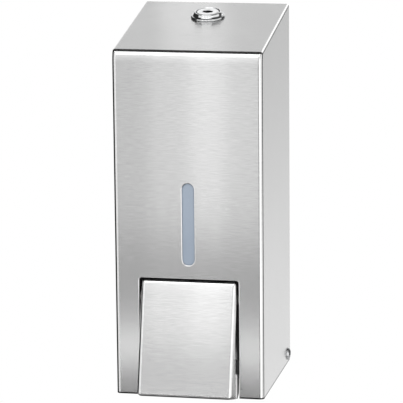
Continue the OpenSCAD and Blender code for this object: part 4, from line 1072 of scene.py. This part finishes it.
galvanised = handled_finish("galvanised_sheet", (0.40, 0.41, 0.42), (0.52, 0.53, 0.54), 25.0, (0.34, 0.48),
                            "Smudge", bump=0.15, tone=spangle)
hex_bore = BARREL_RADIUS + RUNNING_FIT
hex_profile = [(hex_bore, HEX_LOW), (HEX_RADIUS - 1.2, HEX_LOW), (HEX_RADIUS, HEX_LOW + 0.6),
               (HEX_RADIUS, HEX_HIGH - 0.05), (HEX_RADIUS - 0.1, HEX_HIGH), (hex_bore, HEX_HIGH)]
fit("hexagon_nut", turned(hex_profile, on_lock, 96, flats(HEX_SIDES, HEX_RADIUS - 0.5)), galvanised,
    "cover_unit", "plated_steel", "lock_nut")

plug_profile = [(0, CAM_TOP), (SHAFT_RADIUS, CAM_TOP), (SHAFT_RADIUS, PLUG_SEAT), (PLUG_HEAD, PLUG_SEAT),
                (PLUG_HEAD, PLUG_TOP - 0.6), (PLUG_HEAD - 0.4, PLUG_TOP - 0.1), (PLUG_HEAD - 0.6, PLUG_TOP),
                (4.1, PLUG_TOP), (3.7, PLUG_TOP - 0.12), (3.4, PLUG_TOP - 0.15), (0, PLUG_TOP - 0.15)]


def keyhole(grow):
    """The keyway's outline: a slot with a round hole in its middle."""
    half_w, half_t, hole = KEYWAY_WIDTH / 2 + grow, KEYWAY_THICK / 2 + grow, KEYWAY_HOLE + grow
    turn = math.asin(half_t / hole)
    upper = [(half_w, half_t), *arc(hole, turn, math.pi - 2 * turn, 12), (-half_w, half_t)]
    return upper + [(-x, -y) for x, y in upper]


keyway_floor = PLUG_TOP - KEYWAY_DEPTH
keyway = prism(keyhole(KEYWAY_LINER), keyway_floor, PLUG_TOP + 2, on_lock)
tail_outline = [(x, max(-TAIL_HALF, min(TAIL_HALF, y))) for x, y in circle(TAIL_RADIUS)]
plug_mesh = joined(cut(turned(plug_profile, on_lock, 96), keyway),
                   prism(tail_outline, CAM_BOTTOM, CAM_TOP + 1, on_lock))
fit("lock_core_plug", plug_mesh, chrome, "lock_core", "bright_lock", "lock_plug")

# Painted shade: the keyway's walls are lined and its hole closed part way down in nearly black steel, in
# place of the shade in the deep keyway.
dark_steel = moulded_finish("keyway_shade_steel", (0.012, 0.012, 0.013), (0.03, 0.03, 0.031), (0.4, 0.55),
                            {"Metallic": 0.6}, 300.0)
liner_top, shutter_top = PLUG_TOP - LINER_DROP, PLUG_TOP - SHUTTER_DROP
liner_line = ((keyway_floor, KEYWAY_LINER), (liner_top, KEYWAY_LINER), (liner_top, 0), (shutter_top, 0),
              (keyway_floor, 0))
liner = lofted([[(x, y, z) for x, y in keyhole(grow)] for z, grow in liner_line], ring=True, place=on_lock)
shutter = prism(keyhole(KEYWAY_LINER / 2), keyway_floor + SHUTTER_ROOM, shutter_top, on_lock)
fit("keyway_shade_insert", joined(liner, deburred(shutter, 0.08)), dark_steel, "lock_core", "bright_lock")

hub_turn = math.asin(CAM_HALF / CAM_HUB)
cam_outline = arc(CAM_HUB, math.pi / 2 + hub_turn, math.tau - 2 * hub_turn, 36)
cam_outline += arc(CAM_HALF, 0, math.pi, 16, (0, CAM_LENGTH - CAM_HALF))
fit("plated_cam", deburred(prism(cam_outline, CAM_BOTTOM, CAM_TOP, on_lock), 0.25), galvanised, "lock_core",
    "plated_steel", "lock_cam")

screw_profile = [(0, SCREW_HEAD_LOW), (SCREW_HEAD_RADIUS - 0.9, SCREW_HEAD_LOW),
                 (SCREW_HEAD_RADIUS - 0.3, SCREW_HEAD_LOW + 0.3), (SCREW_HEAD_RADIUS, SCREW_HEAD_LOW + 0.9),
                 (SCREW_HEAD_RADIUS, CAM_BOTTOM), (SCREW_SHANK, CAM_BOTTOM), (SCREW_SHANK, SCREW_TOP),
                 (0, SCREW_TOP)]
slot_outline = [(x * SCREW_SLOT_REACH, y * SCREW_SLOT_HALF) for x, y in ((-1, -1), (1, -1), (1, 1), (-1, 1))]
screw_slot = prism(slot_outline, SCREW_HEAD_LOW - SCREW_SLOT_DEPTH, SCREW_HEAD_LOW + SCREW_SLOT_DEPTH,
                   on_lock)
fit("slotted_cam_screw", cut(turned(screw_profile, on_lock, 48), screw_slot), bright_alloy, "lock_core",
    "plated_steel", "cam_screw")


# Push flap: the same brushed sheet, folded into a plate with two wings and turned-in lips. It hangs on two
# pins in nylon bushes in the cover's ears, and two tabs on its wings stop it behind the front. The tabs and
# the rear of the wings, which lie inside the cover, wear the nearly black coat of the cover's inside as
# painted shade.
FLAP_HALF, FLAP_TILT = 32.2, math.radians(14.7)
FLAP_FACE, FLAP_UP, FLAP_DOWN = -9.98, 11.2, -66.3
FLAP_LIP, WING_TOP, WING_FOOT, WING_TOP_CUT, WING_FOOT_CUT, WING_RISE = 6, 15, 25, 3, 4, 0.65
WING_FOLD, CROWN, HEM, FOOT_CORNER, CROWN_CORNER = 2.9, 2.4, 2.0, 3.0, 1.3
FLAP_SHOULDER, FLAP_STEPS, FLAP_SHOULDER_SLOPE = 9.4, (9.4, 8.2, 7.0, 5.8, 4.6, 3.4, 0.0), 0.11
TAB_LOW, TAB_HIGH, TAB_FRONT, TAB_OUT = 16, 26, -105.0, 36.2
SHADE_FOOT, SHADE_TOP = (9.6, -65.1), (-4.4, -6)
SHADE_COATED, WING_FACING, WING_MARGIN = 2, 0.9, 0.1
on_flap = Matrix.Translation((0, HINGE_Y, HINGE_H)) @ Matrix.Rotation(-FLAP_TILT, 4, "X")

wing = [(FLAP_FACE, FLAP_DOWN), (FLAP_FACE + FLAP_LIP, FLAP_DOWN),
        (FLAP_FACE + WING_FOOT - WING_FOOT_CUT, FLAP_DOWN + WING_RISE),
        (FLAP_FACE + WING_FOOT, FLAP_DOWN + WING_FOOT_CUT), (FLAP_FACE + WING_TOP, FLAP_UP - WING_TOP_CUT),
        (FLAP_FACE + WING_TOP - WING_TOP_CUT, FLAP_UP), (FLAP_FACE + FLAP_LIP, FLAP_UP)]
crown = len(wing)
flap_rows = shoulder_rows(FLAP_UP, FLAP_SHOULDER, FLAP_STEPS, FLAP_SHOULDER_SLOPE)
wing += [(FLAP_FACE + setback, height) for height, setback in reversed(flap_rows)]
flap_corners = {name: on_flap @ Vector(place)
                for name, place in both_sides(wing, -FLAP_HALF, FLAP_HALF).items()}
plate_rows = [0] + list(reversed(range(crown, len(wing))))
flap_panels = [(f"left{low}", f"right{low}", f"right{high}", f"left{high}")
               for low, high in zip(plate_rows, plate_rows[1:])]
flap_panels += [*side_panels(len(wing)),
                (f"left{crown}", f"right{crown}", f"right{crown - 1}", f"left{crown - 1}"),
                ("right0", "left0", "left1", "right1")]
flap_folds = {(f"left{crown}", f"right{crown}"): CROWN, ("left0", "right0"): HEM}
for side in ("left", "right"):
    for low, high in zip(plate_rows, plate_rows[1:]):
        flap_folds[f"{side}{low}", f"{side}{high}"] = WING_FOLD
    flap_folds[f"{side}{crown - 1}", f"{side}{crown}"] = CROWN_CORNER
    flap_folds[side + "0", side + "1"] = FOOT_CORNER
tabs = []
for side in (-1, 1):
    near, far = sorted((side * (FLAP_HALF - GAUGE / 2), side * TAB_OUT))
    tab_outline = eased([(near, TAB_LOW), (far, TAB_LOW), (far, TAB_HIGH), (near, TAB_HIGH)], 1.0)
    tabs.append(coated(deburred(prism(tab_outline, -TAB_FRONT - GAUGE, -TAB_FRONT, forward)), SHADE_COATED))

flap_sheet = folded_sheet(flap_corners, flap_panels, flap_folds, GAUGE)
# Painted shade: the wing faces behind the plane through these two points take the nearly black coat.
shade_foot, shade_top = (on_flap @ Vector((0, *end)) for end in (SHADE_FOOT, SHADE_TOP))
rearward = (shade_top - shade_foot).cross(Vector((1, 0, 0)))
shape = bmesh.new()
shape.from_mesh(flap_sheet)
wing_faces = [face for face in shape.faces if abs(face.normal.x) > WING_FACING]
wing_parts = dict.fromkeys(part for face in wing_faces for part in (*face.verts, *face.edges, face))
bmesh.ops.bisect_plane(shape, geom=list(wing_parts), plane_co=shade_foot, plane_no=rearward)
for face in shape.faces:
    middle = face.calc_center_median()
    on_wing = abs(middle.x) > FLAP_HALF - GAUGE - WING_MARGIN
    if on_wing and (middle - shade_foot).dot(rearward) > 0:
        face.material_index = SHADE_COATED
shape.to_mesh(flap_sheet)
shape.free()
fit("brushed_flap", joined(flap_sheet, *tabs), (brushed, brushed, shade_lining), "flap_unit", "brushed_cover",
    "push_flap")

BUSH_FLANGE, BUSH_FLANGE_T, BUSH_BARREL, PIN_RADIUS = 3.6, 1.0, 3.0, 2.0
PIN_HEAD, PIN_HEAD_T, PIN_END, PIN_HEAD_ROUND, PIN_END_ROUND = 3.5, 1.2, 37.3, 0.5, 0.4
CLIP_RADIUS, CLIP_IN, CLIP_OUT = 4.0, 35.0, 35.8
hinges = [Matrix.Translation((0, HINGE_Y, HINGE_H)) @ outward[side] for side in (-1, 1)]
wing_in = FLAP_HALF - GAUGE
head_in, bush_bore, bush_in = wing_in - PIN_HEAD_T, PIN_RADIUS + RUNNING_FIT, OPENING_HALF - BUSH_FLANGE_T
bush_profile = eased([(bush_bore, bush_in), (BUSH_FLANGE, bush_in), (BUSH_FLANGE, OPENING_HALF),
                      (BUSH_BARREL, OPENING_HALF), (BUSH_BARREL, OPENING_HALF + GAUGE),
                      (bush_bore, OPENING_HALF + GAUGE)], 0.2)
pin_profile = [(0, head_in), (PIN_HEAD - PIN_HEAD_ROUND, head_in), (PIN_HEAD, head_in + PIN_HEAD_ROUND),
               (PIN_HEAD, wing_in), (PIN_RADIUS, wing_in), (PIN_RADIUS, PIN_END - PIN_END_ROUND),
               (PIN_RADIUS - PIN_END_ROUND, PIN_END), (0, PIN_END)]
clip_profile = ring_section(PIN_RADIUS, CLIP_RADIUS, CLIP_IN, CLIP_OUT, 0.15)
for name, profile, finish, body, slot, cad in (
        ("hinge_bush_pair", bush_profile, white_nylon, "cover_unit", "white_plastic", "flap_bushes"),
        ("hinge_pin_pair", pin_profile, bright_alloy, "flap_unit", "plated_steel", "hinge_pins"),
        ("pin_clip_pair", clip_profile, spring_steel, "flap_unit", "plated_steel", "pin_clips")):
    fit(name, turned_set(profile, hinges, 40), finish, body, slot, cad)
